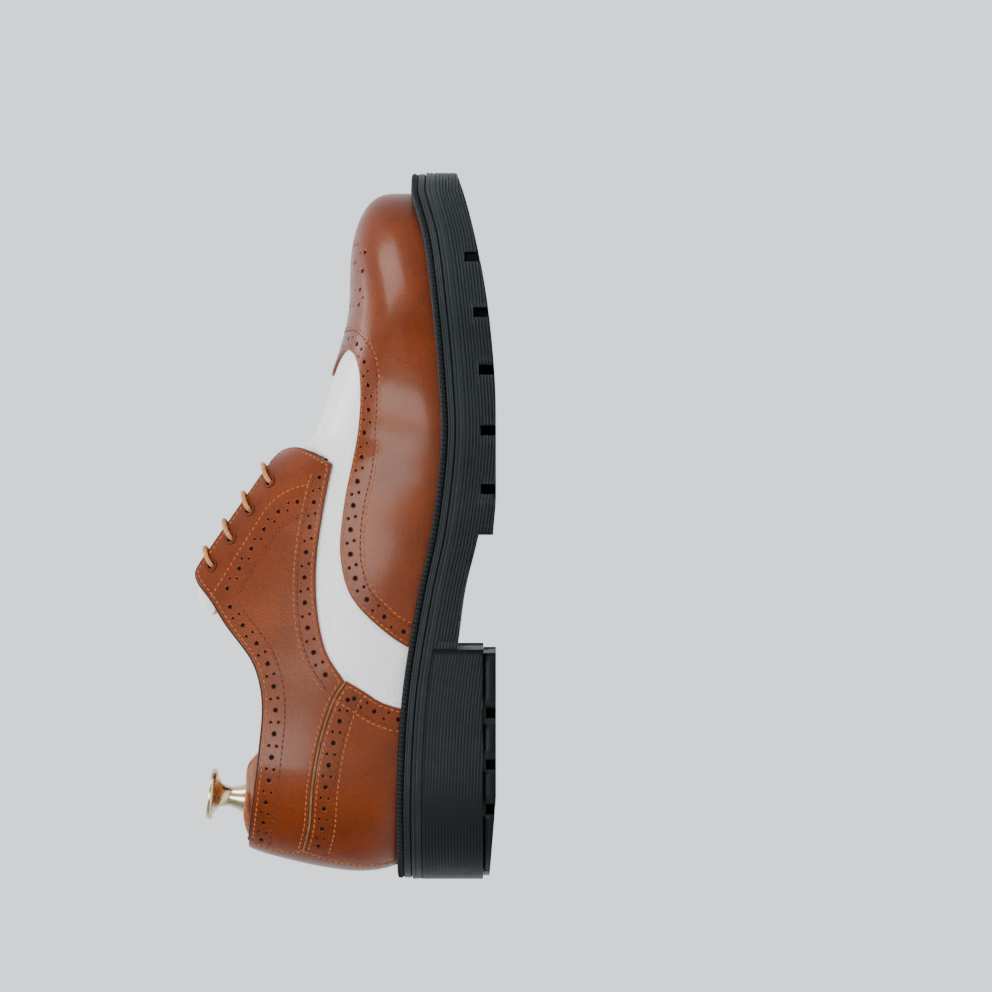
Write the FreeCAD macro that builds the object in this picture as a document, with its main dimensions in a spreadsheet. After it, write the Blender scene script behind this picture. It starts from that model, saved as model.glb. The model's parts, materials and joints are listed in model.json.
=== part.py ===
import FreeCAD, Part
import math
import os

import Sketcher

# Golf shoe for the right foot, with the two-piece cedar shoe tree that stands in it.
# +X toe, +Y medial side, +Z up. The ground is z = 0 and the origin is the middle of the sole's box.

Vector = FreeCAD.Vector
DOC = FreeCAD.newDocument("golf_shoe")

# Driving dimensions in millimetres, and those that follow from them.
SIZES = {
    "sole_length": 304.0,
    "sole_width": 112.0,
    "upper_leather": 1.4,
    "backing": 1.3,
    "lining": 1.0,
    "back_seam": 2.0,
    "glue_line": 0.12,
    "welt_band": 3.0,
    "rand_height": 2.9,
    "rand_set_in": 1.5,
    "midsole_thick": 4.5,
    "notch_length": 4.2,
    "notch_depth": 13.0,
    "notch_height": 6.5,
    "top_piece_thick": 5.5,
    "top_piece_set_in": 1.6,
    "insole_thick": 2.4,
    "cork_thick": 2.0,
    "sock_thick": 1.0,
    "shank_width": 14.0,
    "shank_thick": 1.1,
    "piping_width": 1.2,
    "lace_clear": 1.4,
    "eyelet_bore": "=lace_diameter + lace_clear",
    "eyelet_wall": 0.5,
    "eyelet_flange": 0.7,
    "lace_diameter": 2.0,
    "nail_diameter": 2.0,
    "nail_length": 18.0,
    "tongue_thick": 2.4,
    "tree_clear": 1.0,
    "tree_height": 64.0,
    "split_travel": 6.0,
    "split_margin": 1.0,
    "rod_outside": 10.0,
    "rod_inside": "=rod_outside - 2 * rod_wall",
    "rod_wall": 1.0,
    "tube_inside": "=rod_outside + 2 * running_gap",
    "tube_outside": "=tube_inside + 2 * tube_wall",
    "tube_wall": 0.95,
    "spring_wire": 1.0,
    "pin_diameter": 3.0,
    "guide_diameter": 5.0,
    "running_gap": 0.05,
    "knob_diameter": 21.8,
    "knob_height": 17.0,
    "knob_neck": 8.4,
    "knob_base": 12.4,
    "knob_rim": 2.9,
    "knob_tilt": 7.5,
    "screw_diameter": 4.0,
}
SHEET = DOC.addObject("Spreadsheet::Sheet", "Sizes")
for row, (alias, value) in enumerate(SIZES.items(), start=1):
    SHEET.set(f"A{row}", alias)
    SHEET.set(f"B{row}", str(value))
    SHEET.setAlias(f"B{row}", alias)
DOC.recompute()


def size(alias):
    """A driving dimension, read from the sheet."""
    return float(getattr(SHEET, alias))


# The shape tables below are drawn for this length and width, and stretch with the real ones.
DRAWN_LENGTH = 304.0
DRAWN_WIDTH = 112.0
LENGTHWAYS = size("sole_length") / DRAWN_LENGTH
SIDEWAYS = size("sole_width") / DRAWN_WIDTH

LATERAL, MEDIAL = -1, 1
TOE_END, HEEL_END = 143.0, -147.0
BELOW_SOLE = 5.0

# Each table pairs a place along the shoe with a height, a half width or a roundness.
FEATHER_LINE = [(-147, 42), (-110, 41.8), (-70, 39.4), (-30, 33), (0, 26.8), (35, 23), (60, 23.8),
                (95, 27), (122, 30.6), (143, 36.2)]
RIDGE_LINE = [(-147, 150), (-80, 150), (-40, 138.5), (-15, 125.5), (0, 115), (20, 99), (28, 91.5),
              (33, 85.5), (38, 80.5), (50, 75.5), (64, 71), (77, 66.7), (91, 63.5), (107, 62.8), (143, 62.8)]
LATERAL_WIDTH = [(-147, 33.5), (-95, 33.5), (-60, 33), (-20, 35.5), (20, 43), (50, 48), (80, 48), (107, 44),
                 (143, 38)]
MEDIAL_WIDTH = [(-147, 33), (-95, 33.5), (-60, 30.5), (-20, 29), (20, 37), (50, 45), (80, 47.5), (107, 46.5),
                (143, 44)]
CENTRE_LINE = [(-147, 0), (-40, 0), (20, 0), (80, 1.5), (143, 7)]
ROUNDNESS = [(-147, 2.1), (-80, 2.0), (-30, 1.7), (0, 1.55), (35, 1.7), (60, 2.1), (90, 2.4), (143, 2.5)]
BACK_CURVE = [(42, -145.7), (50, -147.9), (61, -148.5), (76, -146.5), (90, -143.4), (101, -140.4),
              (107, -138), (150, -124)]
LATERAL_MARGIN = [(-147, 4.5), (-60, 4.5), (0, 6), (50, 7.5), (143, 8)]
MEDIAL_MARGIN = [(-147, 4.5), (-60, 4.5), (0, 5.5), (50, 8), (143, 8)]
TREAD_LINE = [(-60, 3), (-4, 1.2), (11, 0), (40, 0), (58, 0.3), (82, 2.2), (104, 5.2), (125, 9.5),
              (139, 13), (152, 17)]
SHANK_TREAD = [(-60, 17.8), (-51, 16.4), (-28, 13.2), (-10, 8.8), (-3.9, 7.4)]

TOE_HEIGHT_START, TOE_HEIGHT_POWER = 107.0, 2.5
TOE_WIDTH_START, TOE_WIDTH_POWER = 75.0, 2.3
HEEL_WIDTH_START, HEEL_WIDTH_POWER = -95.0, 2.2
TOE_LIP = 7.0
BACK_SHEAR_START = -70.0
SOLE_TOE_END, SOLE_HEEL_END = 152.0, -152.0
HEEL_BREAST = -52.0
TAB_RAISE, TAB_RAISE_START, TAB_RAISE_END = 7.0, 46.0, 28.0


def smooth(table, place):
    """The height of a smooth curve through the table's pairs."""
    if place <= table[0][0]:
        return table[0][1]
    if place >= table[-1][0]:
        return table[-1][1]
    index = max(i for i, (x, _) in enumerate(table) if x <= place)
    (x0, y0), (x1, y1) = table[index], table[index + 1]
    before = table[max(index - 1, 0)]
    after = table[min(index + 2, len(table) - 1)]
    span = x1 - x0
    slope0 = (y1 - before[1]) / (x1 - before[0]) if index else (y1 - y0) / span
    slope1 = (after[1] - y0) / (after[0] - x0) if after[0] > x1 else (y1 - y0) / span
    u = (place - x0) / span
    rise0 = span * slope0 * (u ** 3 - 2 * u ** 2 + u)
    rise1 = span * slope1 * (u ** 3 - u ** 2)
    return y0 * (2 * u ** 3 - 3 * u ** 2 + 1) + y1 * (3 * u ** 2 - 2 * u ** 3) + rise0 + rise1


def fall_off(share, power):
    """A superellipse quadrant: 1 at share 0, 0 at share 1."""
    share = min(max(share, 0.0), 1.0)
    return (1 - share ** power) ** (1 / power)


def ease(share):
    share = min(max(share, 0.0), 1.0)
    return share * share * (3 - 2 * share)


def half_width(side, place, heel_end=HEEL_END, toe_end=TOE_END):
    table = LATERAL_WIDTH if side == LATERAL else MEDIAL_WIDTH
    toe = fall_off((place - TOE_WIDTH_START) / (toe_end - TOE_WIDTH_START), TOE_WIDTH_POWER)
    heel = fall_off((HEEL_WIDTH_START - place) / (HEEL_WIDTH_START - heel_end), HEEL_WIDTH_POWER)
    return smooth(table, place) * toe * heel


def upper_point(side, along, around, raised):
    """A point of the upper's outside.

    along runs 0 to 1 from the heel's back to the toe, around 0 to 1 from the feather line to the ridge.
    raised is 1 for the quarters, whose eyelet tabs stand over the vamp, and 0 for the vamp.
    """
    place = HEEL_END + (TOE_END - HEEL_END) * (1 - math.cos(math.pi * along)) / 2
    feather = smooth(FEATHER_LINE, place)
    toe_drop = fall_off((place - TOE_HEIGHT_START) / (TOE_END - TOE_HEIGHT_START), TOE_HEIGHT_POWER)
    rise = TOE_LIP + (smooth(RIDGE_LINE, place) - feather - TOE_LIP) * toe_drop
    roundness = smooth(ROUNDNESS, place)
    angle = around * math.pi / 2
    up = math.sin(angle) ** (2 / roundness)
    out = max(math.cos(angle), 0.0) ** (2 / roundness)
    tab = TAB_RAISE * ease((TAB_RAISE_START - place) / (TAB_RAISE_START - TAB_RAISE_END))
    z = feather + rise * up + raised * tab * up ** 4
    lean = ease((BACK_SHEAR_START - place) / (BACK_SHEAR_START - HEEL_END))
    x = place + (smooth(BACK_CURVE, z) - HEEL_END) * lean
    y = smooth(CENTRE_LINE, place) + side * half_width(side, place) * out
    return Vector(x * LENGTHWAYS, y * SIDEWAYS, z)


def upper_normal(side, along, around, raised):
    """The outward direction at a point of the upper. Where the two sides meet, both give the same one."""
    step = 0.004
    a = min(max(along, 2 * step), 1 - 2 * step)
    b = min(max(around, 2 * step), 1 - 2 * step)
    meeting = along in (0, 1) or around == 1
    normal = Vector()
    for one in (LATERAL, MEDIAL) if meeting else (side,):
        by_length = upper_point(one, a + step, b, raised) - upper_point(one, a - step, b, raised)
        by_height = upper_point(one, a, b + step, raised) - upper_point(one, a, b - step, raised)
        normal += (by_length.cross(by_height) * -one).normalize()
    if meeting:
        normal.y = 0
    if around == 0:
        normal.z = 0
    return normal.normalize()


def spline(points):
    """A cubic curve guided by the points as its control points."""
    curve = Part.BSplineCurve()
    spans = len(points) - 3
    curve.buildFromPolesMultsKnots(points, [4] + [1] * (spans - 1) + [4], list(range(spans + 1)), False, 3)
    return curve


def through(points):
    """A smooth curve through the points."""
    curve = Part.BSplineCurve()
    curve.interpolate(points)
    return curve


def blunt(end, near):
    """A control point that makes a curve leave its end square to the shoe's length."""
    share = 0.45
    return Vector(end.x, end.y + (near.y - end.y) * share, end.z + (near.z - end.z) * share)


ALONG_STEPS = 40
AROUND_STEPS = 14


def upper_half(side, raised, depth):
    """One side of the upper's surface, depth below the outside, with its wall run down under the sole."""
    rows = []
    for i in range(ALONG_STEPS + 1):
        along = i / ALONG_STEPS
        row = []
        for j in range(AROUND_STEPS + 1):
            around = j / AROUND_STEPS
            point = upper_point(side, along, around, raised)
            row.append(point - upper_normal(side, along, around, raised) * depth)
        foot = row[0]
        wall = [Vector(foot.x, foot.y, BELOW_SOLE), Vector(foot.x, foot.y, (foot.z + BELOW_SOLE) / 2)]
        rows.append(wall + row)
    rows.insert(1, [blunt(end, near) for end, near in zip(rows[0], rows[1])])
    rows.insert(-1, [blunt(end, near) for end, near in zip(rows[-1], rows[-2])])
    surface = Part.BSplineSurface()
    spans_along = len(rows) - 3
    spans_around = len(rows[0]) - 3
    surface.buildFromPolesMultsKnots(
        rows,
        [4] + [1] * (spans_along - 1) + [4],
        [4] + [1] * (spans_around - 1) + [4],
        list(range(spans_along + 1)),
        list(range(spans_around + 1)),
        False, False, 3, 3)
    feet = [row[0] for row in rows]
    return surface.toShape(), spline(feet).toShape()


def upper_solid(raised, depth):
    """All that lies inside the upper's surface, depth below its outside."""
    lateral, lateral_foot = upper_half(LATERAL, raised, depth)
    medial, medial_foot = upper_half(MEDIAL, raised, depth)
    floor = Part.Face(Part.Wire([lateral_foot, medial_foot]))
    shell = Part.makeShell([lateral, medial, floor])
    shell.sewShape()
    solid = Part.makeSolid(shell)
    if solid.Volume < 0:
        solid.reverse()
    return solid


CURVE_STEPS = 22
FAR = 165.0


def side_point(place, height, y=0.0):
    return Vector(place * LENGTHWAYS, y, height)


def table_curve(table, shift):
    """The table's curve raised by shift, in the side plane, from past the heel to past the toe."""
    places = [FAR * (2 * i / CURVE_STEPS - 1) for i in range(CURVE_STEPS + 1)]
    return through([side_point(x, smooth(table, x) + shift) for x in places])


WIDE = 90.0
CEILING = 200.0


def side_prism(edges, low=-WIDE, high=WIDE):
    """A closed side-view outline carried across the shoe from y = low to y = high."""
    face = Part.Face(Part.Wire(Part.sortEdges([edge.toShape() for edge in edges])[0]))
    face.translate(Vector(0, low, 0))
    return face.extrude(Vector(0, high - low, 0))


def closed_by_lines(start_curve, corners):
    """A side-view curve closed by straight lines through the corners."""
    first = start_curve.value(start_curve.LastParameter)
    last = start_curve.value(start_curve.FirstParameter)
    points = [first] + [side_point(*corner) for corner in corners] + [last]
    return [start_curve] + [Part.LineSegment(a, b) for a, b in zip(points, points[1:])]


STACK_FLOOR = size("rand_height") + size("welt_band")


def band(table, shift):
    """Everything above the table's curve raised by shift."""
    curve = table_curve(table, shift)
    return side_prism(closed_by_lines(curve, [(FAR, CEILING), (-FAR, CEILING)]))


def feature(label, shape, placement=None):
    """A sub-part whose shape is worked out above."""
    item = DOC.addObject("Part::Feature", label)
    item.Label = label
    item.Shape = shape
    item.Placement = placement or shape.Placement
    return item


PARTS = []


def keep(item):
    PARTS.append(item)
    return item


# ---- upper ----------------------------------------------------------------------------------------

OUTER_DEPTH = size("upper_leather")
BACKING_TOP = OUTER_DEPTH + size("glue_line")
BACKING_DEPTH = BACKING_TOP + size("backing")
LINING_TOP = BACKING_DEPTH + size("glue_line")
LINING_DEPTH = LINING_TOP + size("lining")
TONGUE_TOP = LINING_DEPTH + size("glue_line")
TONGUE_DEPTH = TONGUE_TOP + size("tongue_thick")

ABOVE_SEAT = band(FEATHER_LINE, -STACK_FLOOR + size("glue_line"))
SOLIDS = {}
SHEETS = {}


def inside(raised, depth):
    key = (raised, round(depth, 3))
    if key not in SOLIDS:
        SOLIDS[key] = upper_solid(raised, depth)
    return SOLIDS[key]


def layer(raised, top, bottom, region):
    """The part of the sheet between two depths of the upper that lies in a region, down to its seat."""
    key = (raised, round(top, 3), round(bottom, 3))
    if key not in SHEETS:
        SHEETS[key] = [inside(raised, depth).common(ABOVE_SEAT) for depth in (top, bottom)]
    outer, inner = (solid.common(region) for solid in SHEETS[key])
    sheet = outer.cut(inner)
    expected = outer.Volume - inner.Volume
    if not expected > 0 or abs(sheet.Volume - expected) > 0.01 * expected:
        raise RuntimeError(f"a sheet holds {sheet.Volume:.0f} instead of {expected:.0f} cubic millimetres")
    return sheet


def outline(curves):
    """A closed side-view outline; each stretch is a list of places and heights, a pair of them a line."""
    edges = []
    for points in curves:
        points = [side_point(*p) for p in points]
        edges.append(Part.LineSegment(*points) if len(points) == 2 else through(points))
    return edges


WING_EDGE = [(52, 84), (58, 76), (64.4, 71), (71.5, 67.5), (74.8, 64), (73.2, 61), (67, 58.4), (56, 57.4),
             (38.3, 58.7), (7.4, 64.5), (-12.8, 65.8), (-29.5, 61.4), (-44.4, 47.4), (-51.9, 35.9), (-57, 22)]
VAMP_FRONT = [(86, 80), (84.1, 62), (78.9, 54.3), (63.9, 49.1), (40, 49.5), (10.1, 53.9), (-16.3, 55.2),
              (-33, 46.5), (-40.9, 35.4), (-46, 20)]
VAMP_REAR = [(26, 112), (23, 92), (17, 81.5), (-3.9, 83), (-27.7, 84.5), (-49.7, 81), (-68, 76), (-79, 66),
             (-85, 50), (-88, 20)]
TAB_FRONT = [(26.3, 69.8), (31.2, 78.5), (33.4, 86), (32, 92.1), (28.1, 96.1)]
TOP_LINE = [(-15.4, 126.4), (-20.2, 128.8), (-24.1, 127.7), (-31.2, 122), (-41.8, 115), (-56.7, 103.6),
            (-66.3, 100), (-76.9, 98.7), (-98.6, 100.5), (-129.5, 104.8), (-150, 108.5)]
QUARTER_EDGE = [(26.3, 69.8), (8.3, 73.2), (-16.3, 76.3), (-38.3, 75.4), (-54, 71.5), (-65.7, 64)]
COUNTER_TOP = [(-65.7, 64), (-72.6, 68.5), (-90.1, 74.5), (-109.6, 78.1), (-128, 79.8), (-138.2, 82.5)]
COUNTER_FRONT = [(-65.7, 64), (-69.9, 57), (-74.3, 50), (-77.4, 40.3), (-80, 20)]
STRAP_LOW = [(-138.2, 82.5), (-141.2, 74.5), (-144.8, 61.4), (-145.6, 49.9), (-143, 42), (-140, 20)]
STRAP_HIGH = [(-138.2, 82.5), (-139.5, 87.5), (-138.2, 93.9), (-133.8, 105.3), (-132, 112)]


def straights(points):
    """The straight stretches that join the points in turn."""
    return [[first, last] for first, last in zip(points, points[1:])]


def moved(points, forward=0.0, up=0.0):
    return [(x + forward, z + up) for x, z in points]


def build_cap_and_vamp():
    around = straights([WING_EDGE[-1], (-57, -5), (FAR, -5), (FAR, 90), WING_EDGE[0]])
    cap_region = outline([WING_EDGE] + around)
    keep(feature("wing_cap", layer(0, 0, OUTER_DEPTH, side_prism(cap_region))))
    keep(feature("vamp", layer(0, BACKING_TOP, BACKING_DEPTH, vamp_prism())))
    puff_region = outline(straights([(88, -5), (FAR, -5), (FAR, 90), (88, 90), (88, -5)]))
    keep(feature("toe_puff", layer(0, BACKING_TOP, BACKING_DEPTH, side_prism(puff_region))))


def vamp_prism():
    return side_prism(outline([VAMP_FRONT, [VAMP_FRONT[-1], VAMP_REAR[-1]], VAMP_REAR[::-1],
                               [VAMP_REAR[0], VAMP_FRONT[0]]]))


def quarter_region():
    return outline([TAB_FRONT, [TAB_FRONT[-1], TOP_LINE[0]], TOP_LINE, [TOP_LINE[-1], (-150, 82.5)],
                    [(-150, 82.5), COUNTER_TOP[-1]], COUNTER_TOP[::-1], QUARTER_EDGE[::-1]])


def halves(region):
    """The lateral and medial prisms of one side-view outline."""
    apart = size("back_seam") / 2
    return {"lateral": side_prism(region, -WIDE, -apart), "medial": side_prism(region, apart, WIDE)}


def strap_region():
    """The backstrap: all that lies behind its front edge."""
    low_end, high_end = STRAP_LOW[-1], STRAP_HIGH[-1]
    behind = straights([low_end, (-FAR, 20), (-FAR, 112), high_end])
    return outline([STRAP_LOW] + behind + [STRAP_HIGH[::-1]])


def build_quarters():
    strap = side_prism(strap_region())
    pipe = size("piping_width")
    for side, prism in halves(quarter_region()).items():
        keep(feature("quarter_" + side, layer(1, 0, OUTER_DEPTH, prism.cut(strap))))
    top, front = moved(COUNTER_TOP, 0, -pipe), moved(COUNTER_FRONT, 0, -pipe)[:-1]
    behind = straights([top[-1], (-FAR, 80), (-FAR, 20), COUNTER_FRONT[-1], front[-1]])
    counter = outline([top, front] + behind)
    for side, prism in halves(counter).items():
        keep(feature("counter_" + side, layer(1, 0, OUTER_DEPTH, prism.cut(strap))))
    pipe_band = outline([COUNTER_TOP, [COUNTER_TOP[-1], (-138.2, 82.5 - pipe)],
                         moved(COUNTER_TOP, 0, -pipe)[::-1], [(-65.7, 64 - pipe), COUNTER_TOP[0]]])
    for side, prism in halves(pipe_band).items():
        keep(feature("counter_piping_" + side, layer(1, 0, OUTER_DEPTH, prism.cut(strap))))
    under_top = side_prism(closed_by_lines(through([side_point(*p) for p in TOP_LINE]),
                                           [(-FAR, -5), (FAR, -5), (FAR, 60), TAB_FRONT[-1]]))
    keep(feature("backstrap", layer(1, 0, OUTER_DEPTH, strap.common(under_top))))


def build_backing():
    front = [(-92, 20), (-90, 50), (-90, 70), (-98, 86), (-112, 90)]
    stiffener = outline([front] + straights([front[-1], (-FAR, 90), (-FAR, 20), front[0]]))
    keep(feature("heel_stiffener", layer(1, BACKING_TOP, BACKING_DEPTH, side_prism(stiffener))))
    drop = 1.2
    low = [(16, 85.5), (-3.9, 86), (-27.7, 87.5), (-49.7, 84.5), (-68, 81)]
    top = moved(TOP_LINE, 0, -drop)
    behind = straights([low[-1], (-82, 92), (-FAR, 92), (-FAR, 108), top[-1]])
    front = straights([top[0], (16, 104.5 - drop), low[0]])
    region = outline([low] + behind + [top[::-1]] + front)
    for side, prism in halves(region).items():
        keep(feature("interlining_" + side, layer(1, BACKING_TOP, BACKING_DEPTH, prism)))


VAMP_CLEAR = 0.3


def build_linings():
    front = outline(straights([(30, 120), (-12, 15), (FAR, 15), (FAR, 120), (30, 120)]))
    keep(feature("vamp_lining", layer(0, LINING_TOP, LINING_DEPTH, side_prism(front))))
    top_front = (20.4, 101.5)
    around = straights([TOP_LINE[-1], (-FAR, 108), (-FAR, 15), (-12.6, 15), top_front, TOP_LINE[0]])
    rear = outline([TOP_LINE] + around)
    lining = layer(1, LINING_TOP, LINING_DEPTH, side_prism(rear))
    vamp_room = layer(0, BACKING_TOP - VAMP_CLEAR, BACKING_DEPTH + VAMP_CLEAR, vamp_prism())
    keep(feature("quarter_lining", lining.cut(vamp_room)))


TONGUE_EDGE = [(31, 84), (18, 93.5), (-5, 108), (-22, 118.5), (-33, 121), (-37, 123.5), (-34, 128),
               (-26, 132), (-16, 138)]


def build_tongue():
    border = outline([TONGUE_EDGE, [TONGUE_EDGE[-1], (40, 138)], [(40, 138), TONGUE_EDGE[0]]])
    keep(feature("tongue", layer(0, TONGUE_TOP, TONGUE_DEPTH, side_prism(border))))


# ---- sole -----------------------------------------------------------------------------------------

OUTLINE_STEPS = 16


def sole_edge_point(side, share, inset=0.0):
    """A point of the sole's plan outline, share 0 at the heel's back to 1 at the toe."""
    def at(value):
        place = SOLE_HEEL_END + (SOLE_TOE_END - SOLE_HEEL_END) * (1 - math.cos(math.pi * value)) / 2
        margins = LATERAL_MARGIN if side == LATERAL else MEDIAL_MARGIN
        toe = fall_off((place - TOE_WIDTH_START) / (SOLE_TOE_END - TOE_WIDTH_START), TOE_WIDTH_POWER)
        heel = fall_off((HEEL_WIDTH_START - place) / (HEEL_WIDTH_START - SOLE_HEEL_END), HEEL_WIDTH_POWER)
        width = smooth(LATERAL_WIDTH if side == LATERAL else MEDIAL_WIDTH, place) + smooth(margins, place)
        y = smooth(CENTRE_LINE, place) * heel + side * width * toe * heel
        return Vector(place * LENGTHWAYS, y * SIDEWAYS, 0)
    step = 0.004
    middle = min(max(share, 2 * step), 1 - 2 * step)
    tangent = at(middle + step) - at(middle - step)
    normal = Vector(tangent.y, -tangent.x, 0) * -side
    if share in (0, 1):
        normal = Vector(-1 if share == 0 else 1, 0, 0)
    return at(share) - normal.normalize() * inset


def sole_outline(inset=0.0):
    """The sole's plan outline as a lateral and a medial curve that meet at heel and toe."""
    curves = []
    for side in (LATERAL, MEDIAL):
        points = [sole_edge_point(side, i / OUTLINE_STEPS, inset) for i in range(OUTLINE_STEPS + 1)]
        points.insert(1, blunt(points[0], points[1]))
        points.insert(-1, blunt(points[-1], points[-2]))
        curves.append(spline(points))
    return curves


def plane_of(body, role):
    return next(item for item in body.Origin.OriginFeatures if item.Role == role)


def sketch_on(body, role, name, geometry):
    sketch = body.newObject("Sketcher::SketchObject", name)
    sketch.AttachmentSupport = [(plane_of(body, role), "")]
    sketch.MapMode = "FlatFace"
    for piece in geometry:
        sketch.addGeometry(piece, False)
    return sketch


def flat_lines(corners):
    """Closed straight lines through corners in a sketch's own plane."""
    points = [Vector(a, b, 0) for a, b in corners]
    return [Part.LineSegment(p, q) for p, q in zip(points, points[1:] + points[:1])]


def sketch_curve(table, start, stop, shift):
    places = [start + (stop - start) * i / CURVE_STEPS for i in range(CURVE_STEPS + 1)]
    return through([Vector(x * LENGTHWAYS, smooth(table, x) + shift, 0) for x in places])


def cut_outside_curve(body, name, table, shift, keep_above):
    """Cuts a body along a side-view curve and keeps what is above or below it."""
    curve = sketch_curve(table, -FAR, FAR, shift)
    far = -40.0 if keep_above else 120.0
    first = curve.value(curve.LastParameter)
    last = curve.value(curve.FirstParameter)
    corners = [first, Vector(first.x, far, 0), Vector(last.x, far, 0), last]
    lines = [Part.LineSegment(p, q) for p, q in zip(corners, corners[1:])]
    sketch = sketch_on(body, "XZ_Plane", name + "_sketch", [curve] + lines)
    pocket = body.newObject("PartDesign::Pocket", name)
    pocket.Profile = sketch
    pocket.Type = 1
    pocket.Midplane = True
    return pocket


def cut_across(body, name, corners):
    """Cuts a straight-sided side-view outline through the whole width of a body."""
    sketch = sketch_on(body, "XZ_Plane", name + "_sketch", flat_lines(corners))
    pocket = body.newObject("PartDesign::Pocket", name)
    pocket.Profile = sketch
    pocket.Type = 1
    pocket.Midplane = True
    return pocket


def sole_slab(label, inset, bottom, top, start=None, stop=None):
    """A slab with the sole's outline between two side-view curves given as (table, shift)."""
    body = DOC.addObject("PartDesign::Body", label)
    body.Label = label
    outline_sketch = sketch_on(body, "XY_Plane", label + "_outline", sole_outline(inset))
    pad = body.newObject("PartDesign::Pad", label + "_pad")
    pad.Profile = outline_sketch
    pad.Length = 70
    cut_outside_curve(body, label + "_top", top[0], top[1], keep_above=False)
    if bottom:
        cut_outside_curve(body, label + "_bottom", bottom[0], bottom[1], keep_above=True)
    ends = 200.0
    if start is not None:
        cut_across(body, label + "_rear_end", [(-ends, -50), (start, -50), (start, 120), (-ends, 120)])
    if stop is not None:
        cut_across(body, label + "_front_end", [(stop, -50), (ends, -50), (ends, 120), (stop, 120)])
    return body


WELT_FLOOR = -STACK_FLOOR
MIDSOLE_FLOOR = WELT_FLOOR - size("midsole_thick")
NOTCH_PLACES = [112.8, 89.1, 65.0, 39.8, 15.4]
HEEL_NOTCH_PLACES = [-78.8, -100.5, -119.4]


def notch_boxes(label, places, table, lift=0.0):
    """Blind notches in both side edges of a tread, one box on each side at each place."""
    boxes = []
    length, depth = size("notch_length"), size("notch_depth")
    for number, place in enumerate(places, start=1):
        share = math.acos(1 - 2 * (place - SOLE_HEEL_END) / (SOLE_TOE_END - SOLE_HEEL_END)) / math.pi
        for side in (LATERAL, MEDIAL):
            edge = sole_edge_point(side, share)
            outside = 20.0
            low = edge.y - (outside if side == LATERAL else depth)
            box = DOC.addObject("Part::Box", f"{label}_notch_{number}_{'L' if side == LATERAL else 'M'}")
            box.setExpression("Length", "Sizes.notch_length")
            box.Width = outside + depth
            box.Height = 30
            top = smooth(table, place) + size("notch_height") + lift
            box.Placement.Base = Vector(edge.x - length / 2, low, top - 30)
            boxes.append(box)
    return boxes


def notched(label, blank, boxes):
    group = DOC.addObject("Part::Compound", label + "_notches")
    group.Links = boxes
    cut = DOC.addObject("Part::Cut", label)
    cut.Label = label
    cut.Base = blank
    cut.Tool = group
    return cut


def build_sole():
    gap = size("glue_line")
    midsole = sole_slab("midsole", 0.4, (FEATHER_LINE, MIDSOLE_FLOOR + gap), (FEATHER_LINE, WELT_FLOOR))
    keep(midsole)
    breast = HEEL_BREAST * LENGTHWAYS
    blank = sole_slab("outsole_blank", 0.0, None, (FEATHER_LINE, MIDSOLE_FLOOR), start=breast + gap)
    rear_edge = [Vector(x * LENGTHWAYS, z, 0) for x, z in SHANK_TREAD]
    front_edge = sketch_curve(TREAD_LINE, -3.7, 152.5, 0.0)
    low = [front_edge.value(front_edge.LastParameter), Vector(180 * LENGTHWAYS, 25, 0),
           Vector(180 * LENGTHWAYS, -40, 0), Vector(-60 * LENGTHWAYS, -40, 0), rear_edge[0]]
    lines = [Part.LineSegment(p, q) for p, q in zip(low, low[1:])]
    lines.append(Part.LineSegment(rear_edge[-1], front_edge.value(front_edge.FirstParameter)))
    sketch = sketch_on(blank, "XZ_Plane", "tread_sketch", [through(rear_edge), front_edge] + lines)
    pocket = blank.newObject("PartDesign::Pocket", "tread_cut")
    pocket.Profile = sketch
    pocket.Type = 1
    pocket.Midplane = True
    keep(notched("outsole", blank, notch_boxes("outsole", NOTCH_PLACES, TREAD_LINE)))
    heel = sole_slab("heel_blank", 0.0, None, (FEATHER_LINE, MIDSOLE_FLOOR), stop=breast)
    floor = size("top_piece_thick")
    cut_across(heel, "heel_block_floor", [(-200, -50), (0, -50), (0, floor), (-200, floor)])
    nails = build_nails()
    block = DOC.addObject("Part::Cut", "heel_block")
    block.Label = "heel_block"
    block.Base = heel
    block.Tool = nails
    keep(block)
    top_blank = sole_slab("heel_top_blank", size("top_piece_set_in"), None, (FEATHER_LINE, MIDSOLE_FLOOR),
                          stop=breast - size("top_piece_set_in"))
    lift = floor - gap
    cut_across(top_blank, "heel_top_ceiling", [(-200, lift), (0, lift), (0, 130), (-200, 130)])
    bevel_start = -115 * LENGTHWAYS
    cut_across(top_blank, "heel_top_bevel", [(-200, -5), (bevel_start, -5), (bevel_start, 0), (-200, 6.5)])
    flat = [(-160, -2.2), (-50, -2.2)]
    keep(notched("heel_top_piece", top_blank, notch_boxes("heel", HEEL_NOTCH_PLACES, flat)))


def ring(label, inset, low, high):
    """A strip of the welt between the sole's outline and the upper's wall."""
    slab = sole_slab(label + "_slab", inset, (FEATHER_LINE, low), (FEATHER_LINE, high))
    DOC.recompute()
    slab.Visibility = False
    return feature(label, slab.Shape.cut(inside(0, -size("glue_line"))))


def build_welt():
    gap = size("glue_line")
    keep(ring("welt", 0.6, WELT_FLOOR + gap, -size("rand_height")))
    keep(ring("storm_rand", size("rand_set_in"), -size("rand_height") + gap, 0.0))


def floor_board(low, high):
    """A board that lies on the seat inside the lining, between two heights over it."""
    region = inside(0, LINING_DEPTH + 0.25).common(band(FEATHER_LINE, low))
    ceiling = table_curve(FEATHER_LINE, high)
    return region.common(side_prism(closed_by_lines(ceiling, [(FAR, -30), (-FAR, -30)])))


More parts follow.
